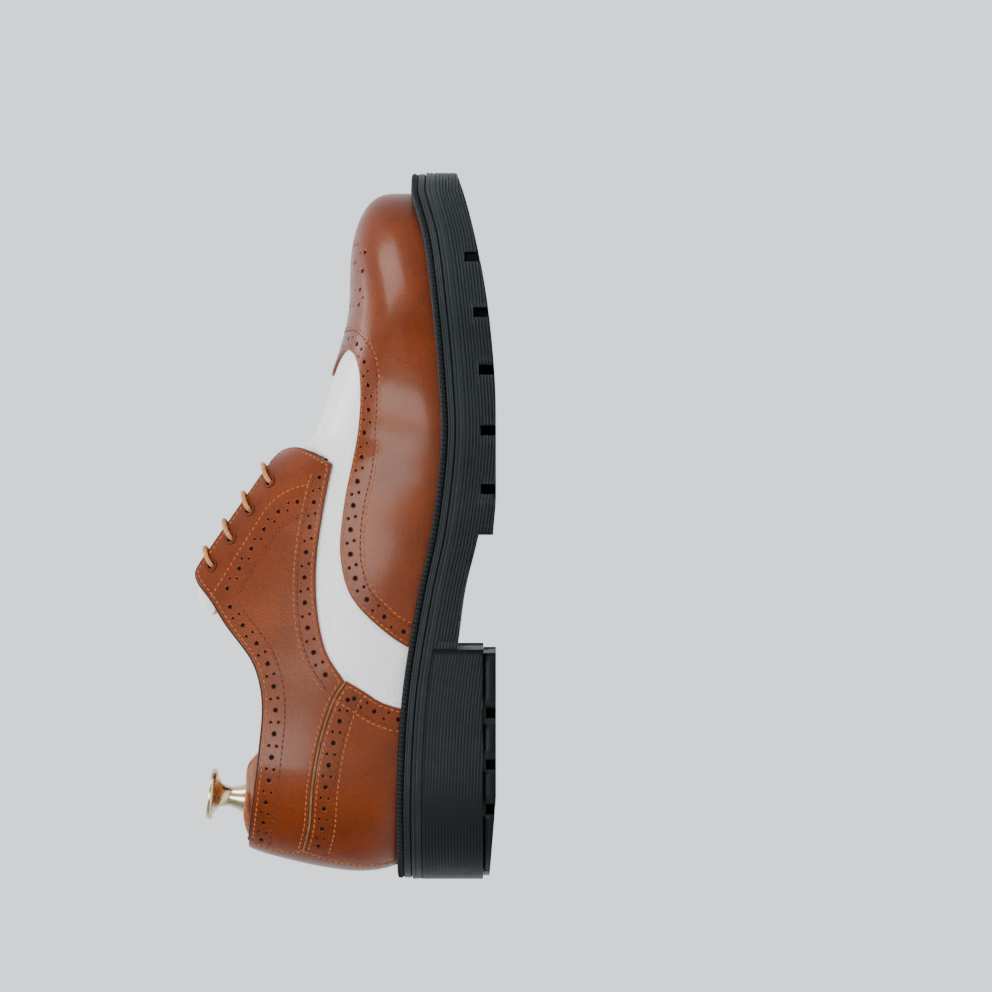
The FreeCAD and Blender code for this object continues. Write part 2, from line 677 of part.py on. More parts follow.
def build_insole():
    gap = size("glue_line")
    cork_low = WELT_FLOOR + gap
    cork_high = cork_low + size("cork_thick")
    board_low = cork_high + gap
    board_high = board_low + size("insole_thick")
    sock_high = board_high + gap + size("sock_thick")
    shank_box = Part.makeBox(112 * LENGTHWAYS, size("shank_width"), 100,
                             Vector(-100 * LENGTHWAYS, -size("shank_width") / 2, 0))
    shank_band = floor_board(cork_low + 0.3, cork_low + 0.3 + size("shank_thick")).common(shank_box)
    around = 0.1
    pocket_box = Part.makeBox(112 * LENGTHWAYS + 2 * around, size("shank_width") + 2 * around, 100,
                              Vector(-100 * LENGTHWAYS - around, -size("shank_width") / 2 - around, 0))
    pocket = floor_board(cork_low + 0.2, cork_high + 1).common(pocket_box)
    keep(feature("steel_shank", shank_band))
    keep(feature("cork_filler", floor_board(cork_low, cork_high).cut(pocket)))
    keep(feature("insole_board", floor_board(board_low, board_high)))
    keep(feature("sock_lining", floor_board(board_high + gap, sock_high)))
    return sock_high


# ---- lace -----------------------------------------------------------------------------------------

EYELET_PLACES = [(18.7, 96.6), (6.7, 105.4), (-5.4, 113.3), (-17.0, 121.6)]
LACE_GAP, LACE_EDGE_GAP, LACE_INNER_GAP = 0.9, 1.2, 0.25
LACE_SLANT = 4.0
LACE_LIFT = size("lace_diameter") / 2 + LACE_GAP
LACE_UNDER = LINING_DEPTH + size("lace_diameter") / 2 + LACE_INNER_GAP
TAIL_POINTS = ((6.0, 0.5), (12.0, 2.0))
BEND_SHARE = 0.3
LEAST_BEND = 1.2


def on_quarter(side, place, height):
    """The point of the quarter's outside at a place and height, and the outward direction there."""
    goal_x = place * LENGTHWAYS
    around = 0.9
    for _ in range(40):
        low, high = 0.0, 1.0
        for _ in range(30):
            along = (low + high) / 2
            low, high = (along, high) if upper_point(side, along, around, 1).x < goal_x else (low, along)
        low, high = 0.0, 1.0
        for _ in range(30):
            around = (low + high) / 2
            low, high = (around, high) if upper_point(side, along, around, 1).z < height else (low, around)
    return upper_point(side, along, around, 1), upper_normal(side, along, around, 1)


def rounded_path(points):
    """Straight runs through the points, joined by tangent arcs, with the arcs' radii."""
    edges, radii = [], []
    start = points[0]
    for before, corner, after in zip(points, points[1:], points[2:]):
        towards, onwards = (before - corner).normalize(), (after - corner).normalize()
        half_turn = (math.pi - towards.getAngle(onwards)) / 2
        setback = BEND_SHARE * min((before - corner).Length, (after - corner).Length)
        radius = max(setback / math.tan(half_turn), LEAST_BEND)
        setback = radius * math.tan(half_turn)
        first, last = corner + towards * setback, corner + onwards * setback
        inward = (towards + onwards).normalize()
        centre = corner + inward * (radius / math.cos(half_turn))
        middle = centre - inward * radius
        edges.append(Part.LineSegment(start, first).toShape())
        edges.append(Part.Arc(first, middle, last).toShape())
        radii.append(round(radius, 2))
        start = last
    edges.append(Part.LineSegment(start, points[-1]).toShape())
    return Part.Wire(edges), radii


def tube_along(wire, diameter):
    """A solid tube along a wire."""
    start = wire.Edges[0].valueAt(wire.Edges[0].FirstParameter)
    heading = wire.Edges[0].tangentAt(wire.Edges[0].FirstParameter)
    disc = Part.Wire(Part.makeCircle(diameter / 2, start, heading))
    return wire.makePipeShell([disc], True, False)


def lace_route():
    """The lace's points: a bar over each pair of eyelets, and a run under the facing from bar to bar."""
    points = []
    for number, (place, height) in enumerate(EYELET_PLACES):
        first, second = (LATERAL, MEDIAL) if number % 2 == 0 else (MEDIAL, LATERAL)
        ends = {}
        for side in (first, second):
            spot, out = on_quarter(side, place, height)
            over = spot + out * LACE_LIFT
            under = spot - out * LACE_UNDER
            ends[side] = (under, over, edge_crossing(side, place, height))
        points += [ends[first][0], ends[first][1], ends[first][2]]
        points += [ends[second][2], ends[second][1], ends[second][0]]
    last = LATERAL if len(EYELET_PLACES) % 2 == 0 else MEDIAL
    return tail(LATERAL, *EYELET_PLACES[0])[::-1] + points + tail(last, *EYELET_PLACES[-1])


def edge_crossing(side, place, height):
    """Where a lace bar goes over the facing's edge, a little nearer the toe than its eyelet."""
    (x0, z0), (x1, z1) = TAB_FRONT[-1], TOP_LINE[0]
    run = math.hypot(x1 - x0, z1 - z0)
    along = ((place - x0) * (x1 - x0) + (height - z0) * (z1 - z0)) / run - LACE_SLANT
    x, z = x0 + (x1 - x0) * along / run, z0 + (z1 - z0) * along / run
    spot, _ = on_quarter(side, x, z)
    away = Vector(z1 - z0, 0, x0 - x1).normalize()
    return spot + away * (size("lace_diameter") / 2 + LACE_EDGE_GAP)


def tail(side, place, height):
    """A lace end's points below its eyelet, down along the inside of the quarter."""
    points = []
    for fall, sink in TAIL_POINTS:
        spot, out = on_quarter(side, place - 0.9 * fall, height - fall)
        points.append(spot - out * (LACE_UNDER + sink))
    return points


def eyelet_ring():
    """A flanged ring along +Z, its flange's top at z = 0."""
    bore, wall = size("eyelet_bore") / 2, size("eyelet_wall")
    flange, lip = bore + wall + size("eyelet_flange"), 0.35
    length = LINING_DEPTH + lip
    corners = [(bore, lip), (flange, lip), (flange, 0.03), (bore + wall, 0.03), (bore + wall, -length + lip),
               (bore, -length + lip)]
    points = [Vector(x, 0, z) for x, z in corners]
    face = Part.Face(Part.makePolygon(points + points[:1]))
    return face.revolve(Vector(0, 0, 0), Vector(0, 0, 1), 360)


def build_eyelets():
    """The eight rings, each in a hole through the facing's three layers."""
    ring_shape = eyelet_ring()
    hole_radius = size("eyelet_bore") / 2 + size("eyelet_wall") + 0.05
    rings = []
    for place, height in EYELET_PLACES:
        for side in (LATERAL, MEDIAL):
            spot, out = on_quarter(side, place, height)
            turn = FreeCAD.Rotation(Vector(0, 0, 1), out)
            ring_copy = ring_shape.copy()
            ring_copy.Placement = FreeCAD.Placement(spot, turn)
            rings.append(ring_copy)
            hole = Part.makeCylinder(hole_radius, 12, spot - out * 8, out)
            names = ["quarter_", "interlining_"]
            for item in PARTS:
                if item.Label in [n + ("lateral" if side == LATERAL else "medial") for n in names]:
                    item.Shape = item.Shape.cut(hole)
                if item.Label == "quarter_lining":
                    item.Shape = item.Shape.cut(hole)
    keep(feature("eyelets", Part.makeCompound(rings)))


def build_lace():
    points = lace_route()
    wire, radii = rounded_path(points)
    diameter = size("lace_diameter")
    tube = tube_along(wire, diameter)
    expected = wire.Length * math.pi * diameter ** 2 / 4
    print("lace length", round(wire.Length, 1), "volume over section times length",
          round(tube.Volume / expected, 4), "radii", radii)
    keep(feature("lace", tube))
    aglets = []
    for end, other in ((wire.Edges[0], -1), (wire.Edges[-1], 1)):
        parameter = end.FirstParameter if other < 0 else end.LastParameter
        tip = end.valueAt(parameter)
        heading = end.tangentAt(parameter) * other
        aglets.append(Part.makeCylinder(diameter / 2 + 0.15, 9, tip + heading * 0.02, heading))
    keep(feature("aglets", Part.makeCompound(aglets)))


# ---- shoe tree ------------------------------------------------------------------------------------

TREE_DEPTH = LINING_DEPTH + size("tree_clear")
SPLIT_PLACE = 4.0
TREE_TOE_END, TREE_REAR_END = 135.0, -6.0
TUBE_REAR, TUBE_FRONT = -62.0, 22.0
ROD_REAR, ROD_FRONT = -112.0, -38.0
BLOCK_FRONT = -89.0
GUIDE_PLACES = (38.0, 92.0)
GUIDE_EMBED = 14.0
BORE_RUN_OUT = 20.0
TUBE_CLEAR = 2.0
SOLE_CLEAR = 0.6
SPRING_ROOM = 1.3
PLUG_LENGTH = 4.0
SCREW_HEAD = 6.0
SCREW_LENGTH = 24.0


def hollow_bar(label, outside_alias, inside_alias, length, direction, base):
    """A round tube whose diameters come from the sheet."""
    body = DOC.addObject("PartDesign::Body", label)
    body.Label = label
    circles = [Part.Circle(Vector(0, 0, 0), Vector(0, 0, 1), first_radius) for first_radius in (3.0, 2.0)]
    sketch = sketch_on(body, "XY_Plane", label + "_circles", circles)
    for index, alias in enumerate((outside_alias, inside_alias)):
        sketch.addConstraint(Sketcher.Constraint("Coincident", index, 3, -1, 1))
        sketch.addConstraint(Sketcher.Constraint("Diameter", index, size(alias)))
        sketch.setExpression(f"Constraints[{2 * index + 1}]", "Sizes." + alias)
    pad = body.newObject("PartDesign::Pad", label + "_pad")
    pad.Profile = sketch
    pad.Length = length
    body.Placement = FreeCAD.Placement(base, FreeCAD.Rotation(Vector(0, 0, 1), direction))
    return body


def coil(start, direction, radius, wire, length, turns):
    """A round-wire spring with open ends."""
    helix = Part.makeHelix((length - wire) / turns, length - wire, radius)
    disc = Part.Wire(Part.makeCircle(wire / 2, Vector(radius, 0, 0), Vector(0, 1, 0)))
    spring = Part.Wire(helix.Edges).makePipeShell([disc], True, True)
    turn = FreeCAD.Rotation(Vector(0, 0, 1), direction)
    spring.Placement = FreeCAD.Placement(start + direction * (wire / 2), turn)
    return spring


def tree_toe_region(low, high):
    """The side view of the tree's toe piece between two y planes."""
    top = [(TREE_TOE_END, 90), (60, 82), (44, 70), (22, 71), (TREE_REAR_END, 73)]
    around = straights([top[-1], (TREE_REAR_END, -20), (TREE_TOE_END, -20), top[0]])
    return side_prism(outline([top] + around), low, high)


def build_tree(sock_top):
    height = size("tree_height")
    rear, front = TREE_REAR_END * LENGTHWAYS, TUBE_FRONT * LENGTHWAYS
    build_toe_pieces(height, rear, front, sock_top)
    build_tubes(height, rear, front)
    build_heel_block(height, ROD_REAR * LENGTHWAYS)


def build_toe_pieces(height, rear, front, sock_top):
    """The fixed and the sprung half of the toe piece, with the pins and springs between them."""
    forward, across = Vector(1, 0, 0), Vector(0, 1, 0)
    blank = inside(0, TREE_DEPTH).common(band(FEATHER_LINE, sock_top + SOLE_CLEAR))
    travel = size("split_travel")
    half_gap = (travel + size("split_margin")) / 2
    split = SPLIT_PLACE * SIDEWAYS
    tube_radius = size("tube_outside") / 2
    length = front - rear + BORE_RUN_OUT
    bore_start = Vector(rear - BORE_RUN_OUT, 0, height)
    bore = Part.makeCylinder(tube_radius + size("running_gap"), length, bore_start, forward)
    fixed = blank.common(tree_toe_region(-WIDE, split - half_gap)).cut(bore)
    channel = Part.makeBox(length + TUBE_CLEAR, WIDE / 2, WIDE,
                           Vector(rear - BORE_RUN_OUT, 0, height - tube_radius - TUBE_CLEAR))
    sprung = blank.common(tree_toe_region(split + half_gap, WIDE)).cut(channel)
    guide = size("guide_diameter") / 2
    pins, springs = [], []
    for place in GUIDE_PLACES:
        z = (smooth(FEATHER_LINE, place) + smooth(RIDGE_LINE, place)) / 2 - 2
        start = Vector(place * LENGTHWAYS, split - half_gap - GUIDE_EMBED, z)
        pins.append(Part.makeCylinder(guide, 2 * (GUIDE_EMBED + half_gap), start, across))
        fixed = fixed.cut(Part.makeCylinder(guide, GUIDE_EMBED + 5, start, across))
        hole_start = start + across * (GUIDE_EMBED + 2 * half_gap - 0.5)
        sprung = sprung.cut(Part.makeCylinder(guide + size("running_gap"), GUIDE_EMBED + travel + 1,
                                              hole_start, across))
        springs.append(coil(start + across * (GUIDE_EMBED + 0.1), across, guide + SPRING_ROOM,
                            size("spring_wire"), 2 * half_gap - 0.2, 3))
    keep(feature("tree_forepart", fixed))
    keep(feature("tree_side_piece", sprung))
    keep(feature("tree_guide_pins", Part.makeCompound(pins)))
    keep(feature("tree_side_springs", Part.makeCompound(springs)))


def build_tubes(height, rear, front):
    """The outer tube with its plug, spring and ferrule, and the inner tube that slides in it."""
    forward = Vector(1, 0, 0)
    bore_radius = size("tube_inside") / 2
    tube_rear, rod_front = TUBE_REAR * LENGTHWAYS, ROD_FRONT * LENGTHWAYS
    rod_rear = ROD_REAR * LENGTHWAYS
    keep(hollow_bar("tree_outer_tube", "tube_outside", "tube_inside", front - tube_rear, forward,
                    Vector(tube_rear, 0, height)))
    keep(hollow_bar("tree_inner_tube", "rod_outside", "rod_inside", rod_front - rod_rear, forward,
                    Vector(rod_rear, 0, height)))
    spring_start = rod_front + 0.3
    spring_length = front - PLUG_LENGTH - 0.3 - spring_start
    keep(feature("tree_main_spring", coil(Vector(spring_start, 0, height), forward, bore_radius - SPRING_ROOM,
                                          size("spring_wire"), spring_length, 14)))
    keep(feature("tree_tube_plug", Part.makeCylinder(bore_radius, PLUG_LENGTH,
                                                     Vector(front - PLUG_LENGTH, 0, height), forward)))
    tube_radius = size("tube_outside") / 2
    thick = 2.0
    ferrule = Part.makeCylinder(tube_radius + 4, thick, Vector(rear - thick - 0.1, 0, height), forward)
    bore_radius = tube_radius + size("running_gap")
    ferrule = ferrule.cut(Part.makeCylinder(bore_radius, 10, Vector(rear - 5, 0, height), forward))
    keep(feature("tree_ferrule", ferrule.makeFillet(0.5, [ferrule.Edges[0]])))


def build_heel_block(height, rod_rear):
    forward = Vector(1, 0, 0)
    top = [(-150, 106), (-131.1, 107), (-124, 107.9), (-111.4, 106.4), (-102, 105.6), (-97.1, 101.5),
           (-93, 88), (-89.5, 70), (BLOCK_FRONT, 47.5)]
    profile = outline([top] + straights([top[-1], (-150, 47.5), top[0]]))
    low, middle, high = 23.5, 24.0, 19.0
    corners = [(-low, 40), (-middle, 70), (-high, 112), (high, 112), (middle, 70), (low, 40)]
    points = [Vector(-200, y * SIDEWAYS, z) for y, z in corners]
    taper = Part.Face(Part.makePolygon(points + points[:1])).extrude(Vector(300, 0, 0))
    block = inside(1, TREE_DEPTH).common(side_prism(profile)).common(taper)
    rod_radius = size("rod_outside") / 2
    front = BLOCK_FRONT * LENGTHWAYS
    rod_end = Vector(rod_rear, 0, height)
    block = block.cut(Part.makeCylinder(rod_radius, front - rod_rear + BORE_RUN_OUT, rod_end, forward))
    pin_radius = size("pin_diameter") / 2
    pin_place = Vector((rod_rear + front) / 2, -16, height)
    pin = Part.makeCylinder(pin_radius, 32, pin_place, Vector(0, 1, 0))
    hole = Part.makeCylinder(pin_radius, 36, pin_place - Vector(0, 2, 0), Vector(0, 1, 0))
    knob_spot = Vector(-117.6 * LENGTHWAYS, 0, 106.9)
    tilt = FreeCAD.Rotation(Vector(0, 1, 0), size("knob_tilt"))
    seat = FreeCAD.Placement(knob_spot, tilt)
    screw_radius = size("screw_diameter") / 2
    screw = Part.makeCylinder(screw_radius, SCREW_LENGTH + SCREW_HEAD, Vector(0, 0, -SCREW_LENGTH))
    recess = Part.makeCylinder(size("knob_base") / 2 + 0.4, 30, Vector(0, 0, 0))
    for shape in (screw, recess):
        shape.Placement = seat
    block = block.cut(hole).cut(screw).cut(recess)
    keep(feature("tree_heel_block", block))
    inner_tube = next(item for item in PARTS if item.Label == "tree_inner_tube")
    PARTS.remove(inner_tube)
    DOC.recompute()
    inner_tube.Label = "tree_inner_tube_blank"
    keep(feature("tree_inner_tube", inner_tube.Shape.cut(hole)))
    keep(feature("tree_tube_pin", pin))
    keep(feature("knob_screw", screw))
    keep(feature("tree_knob", knob_shape(), seat))


def knob_shape():
    """A flared mushroom knob on its own axis, its base at z = 0, with a socket for its screw."""
    base, neck, cap = size("knob_base") / 2, size("knob_neck") / 2, size("knob_diameter") / 2
    tall, rim = size("knob_height"), size("knob_rim")
    foot, crown_drop = 1.2, 0.5
    under = tall - rim
    lip, edge = cap - 0.6, cap - 0.9
    crown_radius = (edge ** 2 + crown_drop ** 2) / (2 * crown_drop)
    half_turn = math.asin(edge / crown_radius) / 2
    crown_middle = Vector(crown_radius * math.sin(half_turn), 0,
                          tall - crown_radius * (1 - math.cos(half_turn)))
    flare = through([Vector(base, 0, foot), Vector(neck + 0.5, 0, 0.3 * tall), Vector(neck, 0, 0.45 * tall),
                     Vector(neck + 1.2, 0, 0.62 * tall), Vector(lip, 0, under)])
    top, crown_edge = Vector(0, 0, tall), Vector(edge, 0, tall - crown_drop)
    rim_round = Part.Arc(Vector(lip, 0, under), Vector(cap, 0, under + rim / 2), crown_edge)
    crown = Part.Arc(crown_edge, crown_middle, top)
    screw = size("screw_diameter") / 2
    socket = [top, Vector(0, 0, SCREW_HEAD), Vector(screw, 0, SCREW_HEAD), Vector(screw, 0, 0),
              Vector(base, 0, 0), Vector(base, 0, foot)]
    edges = [flare, rim_round, crown] + [Part.LineSegment(p, q) for p, q in zip(socket, socket[1:])]
    face = Part.Face(Part.Wire([edge.toShape() for edge in edges]))
    return face.revolve(Vector(0, 0, 0), Vector(0, 0, 1), 360)


def build_nails():
    """Nails that hold the heel block and top piece to the midsole, set in a horseshoe."""
    radius, length = size("nail_diameter") / 2, size("nail_length")
    nails = []
    for x, y in ((-138, 0), (-128, -20), (-128, 20), (-104, -25), (-104, 25), (-78, -24), (-78, 24)):
        nail = Part.makeCylinder(radius, length, Vector(x * LENGTHWAYS, y * SIDEWAYS, 8.0))
        nails.append(nail)
    group = Part.makeCompound(nails)
    return keep(feature("heel_nails", group))


# ---- export ---------------------------------------------------------------------------------------

def main():
    build_cap_and_vamp()
    build_quarters()
    build_backing()
    build_linings()
    build_tongue()
    build_eyelets()
    build_lace()
    build_welt()
    sock_top = build_insole()
    build_tree(sock_top)
    build_sole()
    DOC.recompute()
    for item in DOC.Objects:
        if "Invalid" in item.State or "Error" in item.State:
            raise RuntimeError(f"{item.Name} failed: {item.State}")
    os.makedirs("parts", exist_ok=True)
    for item in PARTS:
        shape = item.Shape
        if shape.isNull() or not shape.isValid():
            raise RuntimeError(f"{item.Label} has no sound shape")
        print(item.Label, len(shape.Solids), round(shape.Volume), [round(v, 1) for v in (
            shape.BoundBox.XMin, shape.BoundBox.XMax, shape.BoundBox.YMin, shape.BoundBox.YMax,
            shape.BoundBox.ZMin, shape.BoundBox.ZMax)])
        shape.exportStep(f"parts/{item.Label}.step")


main()
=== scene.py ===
import json
import math

import bpy
import numpy as np
from mathutils import Matrix, Vector, kdtree
from mathutils.geometry import delaunay_2d_cdt

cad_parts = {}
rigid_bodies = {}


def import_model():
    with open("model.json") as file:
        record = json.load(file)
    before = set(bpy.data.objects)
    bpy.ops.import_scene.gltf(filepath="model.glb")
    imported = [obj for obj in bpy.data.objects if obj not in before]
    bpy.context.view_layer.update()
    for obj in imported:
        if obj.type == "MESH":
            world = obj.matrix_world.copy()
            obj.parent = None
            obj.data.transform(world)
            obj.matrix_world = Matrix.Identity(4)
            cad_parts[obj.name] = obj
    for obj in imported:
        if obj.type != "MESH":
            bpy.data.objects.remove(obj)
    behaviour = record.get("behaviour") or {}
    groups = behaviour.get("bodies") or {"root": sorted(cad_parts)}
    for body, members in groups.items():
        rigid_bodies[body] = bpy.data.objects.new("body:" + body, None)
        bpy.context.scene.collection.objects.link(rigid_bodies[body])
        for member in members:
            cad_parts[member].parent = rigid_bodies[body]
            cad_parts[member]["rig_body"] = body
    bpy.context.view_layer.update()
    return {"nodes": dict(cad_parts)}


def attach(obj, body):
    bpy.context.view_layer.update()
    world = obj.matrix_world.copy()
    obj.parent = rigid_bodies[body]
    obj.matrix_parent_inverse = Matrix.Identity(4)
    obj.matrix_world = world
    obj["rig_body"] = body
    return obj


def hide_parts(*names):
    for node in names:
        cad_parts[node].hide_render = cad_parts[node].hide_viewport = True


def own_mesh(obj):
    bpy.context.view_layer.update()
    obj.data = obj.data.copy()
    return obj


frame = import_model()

# The looks of the golf shoe: perforated leather panels over a lasted surface, a ribbed rubber sole,
# laces, lining, and the cedar shoe tree. Shapes are worked out in millimetres and written in metres.

MM = 0.001
RANDOM = np.random.default_rng(7)
LATERAL, MEDIAL = -1, 1

# ---- the upper's surface, the same as the CAD's -----------------------------------------------------

TOE_END, HEEL_END = 143.0, -147.0
FEATHER_LINE = [(-147, 42), (-110, 41.8), (-70, 39.4), (-30, 33), (0, 26.8), (35, 23), (60, 23.8),
                (95, 27), (122, 30.6), (143, 36.2)]
RIDGE_LINE = [(-147, 150), (-80, 150), (-40, 138.5), (-15, 125.5), (0, 115), (20, 99), (28, 91.5),
              (33, 85.5), (38, 80.5), (50, 75.5), (64, 71), (77, 66.7), (91, 63.5), (107, 62.8), (143, 62.8)]
LATERAL_WIDTH = [(-147, 33.5), (-95, 33.5), (-60, 33), (-20, 35.5), (20, 43), (50, 48), (80, 48), (107, 44),
                 (143, 38)]
MEDIAL_WIDTH = [(-147, 33), (-95, 33.5), (-60, 30.5), (-20, 29), (20, 37), (50, 45), (80, 47.5), (107, 46.5),
                (143, 44)]
CENTRE_LINE = [(-147, 0), (-40, 0), (20, 0), (80, 1.5), (143, 7)]
ROUNDNESS = [(-147, 2.1), (-80, 2.0), (-30, 1.7), (0, 1.55), (35, 1.7), (60, 2.1), (90, 2.4), (143, 2.5)]
BACK_CURVE = [(42, -145.7), (50, -147.9), (61, -148.5), (76, -146.5), (90, -143.4), (101, -140.4),
              (107, -138), (150, -124)]
LATERAL_MARGIN = [(-147, 4.5), (-60, 4.5), (0, 6), (50, 7.5), (143, 8)]
MEDIAL_MARGIN = [(-147, 4.5), (-60, 4.5), (0, 5.5), (50, 8), (143, 8)]
TREAD_LINE = [(-60, 3), (-4, 1.2), (11, 0), (40, 0), (58, 0.3), (82, 2.2), (104, 5.2), (125, 9.5),
              (139, 13), (152, 17)]
SHANK_TREAD = [(-60, 17.8), (-51, 16.4), (-28, 13.2), (-10, 8.8), (-3.9, 7.4)]

OUTER = 1.4
VAMP_TOP, VAMP_FLOOR = 1.46, 2.82
LINING_TOP, LINING_FLOOR = 2.94, 3.94
TONGUE_TOP, TONGUE_FLOOR = 4.06, 6.46
TOE_LIP = 7.0
TAB_RAISE = 7.0
SKIRT = 20.0
EYELET_HOLE = 2.25


def smooth(table, place):
    """The height of a smooth curve through the table's pairs, for every place."""
    xs, ys = np.array(table, float).T
    slopes = np.empty_like(ys)
    slopes[1:-1] = (ys[2:] - ys[:-2]) / (xs[2:] - xs[:-2])
    slopes[0] = (ys[1] - ys[0]) / (xs[1] - xs[0])
    slopes[-1] = (ys[-1] - ys[-2]) / (xs[-1] - xs[-2])
    place = np.clip(place, xs[0], xs[-1])
    i = np.clip(np.searchsorted(xs, place, side="right") - 1, 0, len(xs) - 2)
    span = xs[i + 1] - xs[i]
    u = (place - xs[i]) / span
    level = ys[i] * (2 * u ** 3 - 3 * u ** 2 + 1) + ys[i + 1] * (3 * u ** 2 - 2 * u ** 3)
    return level + span * (slopes[i] * (u ** 3 - 2 * u ** 2 + u) + slopes[i + 1] * (u ** 3 - u ** 2))


def fall_off(share, power):
    return (1 - np.clip(share, 0, 1) ** power) ** (1 / power)


def ease(share):
    share = np.clip(share, 0, 1)
    return share * share * (3 - 2 * share)


def width_of(side, place, margin=0.0, heel_end=HEEL_END, toe_end=TOE_END):
    table = np.where(side < 0, smooth(LATERAL_WIDTH, place), smooth(MEDIAL_WIDTH, place)) + margin
    toe = fall_off((place - 75) / (toe_end - 75), 2.3)
    heel = fall_off((-95 - place) / (-95 - heel_end), 2.2)
    return table * toe * heel


def surface(along, around, side, raised):
    """Points of the upper: along 0 heel to 1 toe, around 0 feather line to 1 ridge."""
    place = HEEL_END + (TOE_END - HEEL_END) * (1 - np.cos(np.pi * along)) / 2
    feather = smooth(FEATHER_LINE, place)
    drop = fall_off((place - 107) / (TOE_END - 107), 2.5)
    rise = TOE_LIP + (smooth(RIDGE_LINE, place) - feather - TOE_LIP) * drop
    power = 2 / smooth(ROUNDNESS, place)
    up = np.sin(around * np.pi / 2) ** power
    out = np.clip(np.cos(around * np.pi / 2), 0, 1) ** power
    z = feather + rise * up + raised * TAB_RAISE * ease((46 - place) / 18) * up ** 4
    lean = ease((-70 - place) / 77)
    x = place + (smooth(BACK_CURVE, z) - HEEL_END) * lean
    y = smooth(CENTRE_LINE, place) + side * width_of(side, place) * out
    return np.stack([x, y, z], -1)


def outward(along, around, side, raised):
    """The outward direction of the upper's surface."""
    step = 0.004
    a = np.clip(along, 2 * step, 1 - 2 * step)
    b = np.clip(around, 2 * step, 1 - 2 * step)

    def one(hand):
        by_length = surface(a + step, b, hand, raised) - surface(a - step, b, hand, raised)
        by_height = surface(a, b + step, hand, raised) - surface(a, b - step, hand, raised)
        normal = np.cross(by_length, by_height) * -np.reshape(hand, (-1, 1))
        return normal / np.linalg.norm(normal, axis=-1, keepdims=True)

    normal = one(side)
    meeting = (along <= 1e-9) | (along >= 1 - 1e-9) | (around >= 1 - 1e-9)
    both = one(np.full_like(side, -1)) + one(np.full_like(side, 1))
    normal = np.where(meeting[:, None], both * [1, 0, 1], normal)
    normal = np.where((around <= 1e-9)[:, None], normal * [1, 1, 0], normal)
    return normal / np.linalg.norm(normal, axis=-1, keepdims=True)


# A chart point is (s, t), about a millimetre a unit: s runs from heel to toe and t from the lateral
# feather line over the ridge at t = 0 to the medial one.
S_SPAN, T_SPAN = 320.0, 95.0


def upper(chart, raised=0, depth=0.0):
    """Points on the upper, depth below its outside. Past the feather line they run straight down."""
    chart = np.atleast_2d(np.asarray(chart, float))
    along = np.clip(chart[:, 0] / S_SPAN, 0, 1)
    turn = chart[:, 1] / T_SPAN
    side = np.where(turn < 0, -1.0, 1.0)
    around = 1 - np.abs(turn)
    held = np.clip(around, 0, 1)
    points = surface(along, held, side, raised)
    points = points - outward(along, held, side, raised) * np.reshape(depth, (-1, 1))
    points[:, 2] += np.minimum(around, 0) * SKIRT
    return points


def normals_at(chart, raised=0):
    chart = np.atleast_2d(np.asarray(chart, float))
    turn = chart[:, 1] / T_SPAN
    return outward(np.clip(chart[:, 0] / S_SPAN, 0, 1), np.clip(1 - np.abs(turn), 0, 1),
                   np.where(turn < 0, -1.0, 1.0), raised)


def bisect(too_low, low, high):
    for _ in range(26):
        middle = (low + high) / 2
        below = too_low(middle)
        low, high = np.where(below, middle, low), np.where(below, high, middle)
    return (low + high) / 2


def locate(side, points, raised=0):
    """Chart points of side-view points given as (place, height)."""
    x, z = np.array(points, float).T
    hand = np.full_like(x, side)
    around = np.full_like(x, 0.8)
    zero, one = np.zeros_like(x), np.ones_like(x)
    for _ in range(10):
        held = np.clip(around, 0, 1)
        along = bisect(lambda a: surface(a, held, hand, raised)[:, 0] < x, zero, one)

        def lower(b):
            return surface(along, np.clip(b, 0, 1), hand, raised)[:, 2] + np.minimum(b, 0) * SKIRT < z

        around = bisect(lower, zero - 1, one)
    return np.stack([along * S_SPAN, side * (1 - around) * T_SPAN], -1)


def flow(points, step=1.6):
    """A smooth line through side-view points, with a point every step or so."""
    p = np.array(points, float)
    if len(p) == 2:
        count = max(int(np.linalg.norm(p[1] - p[0]) / step), 1)
        return p[0] + (p[1] - p[0]) * np.linspace(0, 1, count + 1)[:, None]
    gaps = np.sqrt(np.linalg.norm(np.diff(p, axis=0), axis=1))
    knots = np.concatenate([[0], np.cumsum(gaps)])
    slopes = np.gradient(p, knots, axis=0, edge_order=1)
    made = [p[:1]]
    for i in range(len(p) - 1):
        count = max(int(np.linalg.norm(p[i + 1] - p[i]) / step), 2)
        u = np.linspace(0, 1, count + 1)[1:, None]
        h = gaps[i]
        made.append(p[i] * (2 * u ** 3 - 3 * u ** 2 + 1) + p[i + 1] * (3 * u ** 2 - 2 * u ** 3)
                    + h * (slopes[i] * (u ** 3 - 2 * u ** 2 + u) + slopes[i + 1] * (u ** 3 - u ** 2)))
    return np.concatenate(made)


def on_side(side, points, raised=0):
    return locate(side, flow(points), raised)


def stretch(chart, raised):
    """How a small chart step moves in space: the two partial steps at each point."""
    step = 0.05
    chart = np.array(chart, float)
    inner = np.clip(chart, [2 * step, -T_SPAN * 1.1], [S_SPAN - 2 * step, T_SPAN * 1.1])
    by_s = (upper(inner + [step, 0], raised) - upper(inner - [step, 0], raised)) / (2 * step)
    by_t = (upper(inner + [0, step], raised) - upper(inner - [0, step], raised)) / (2 * step)
    return by_s, by_t


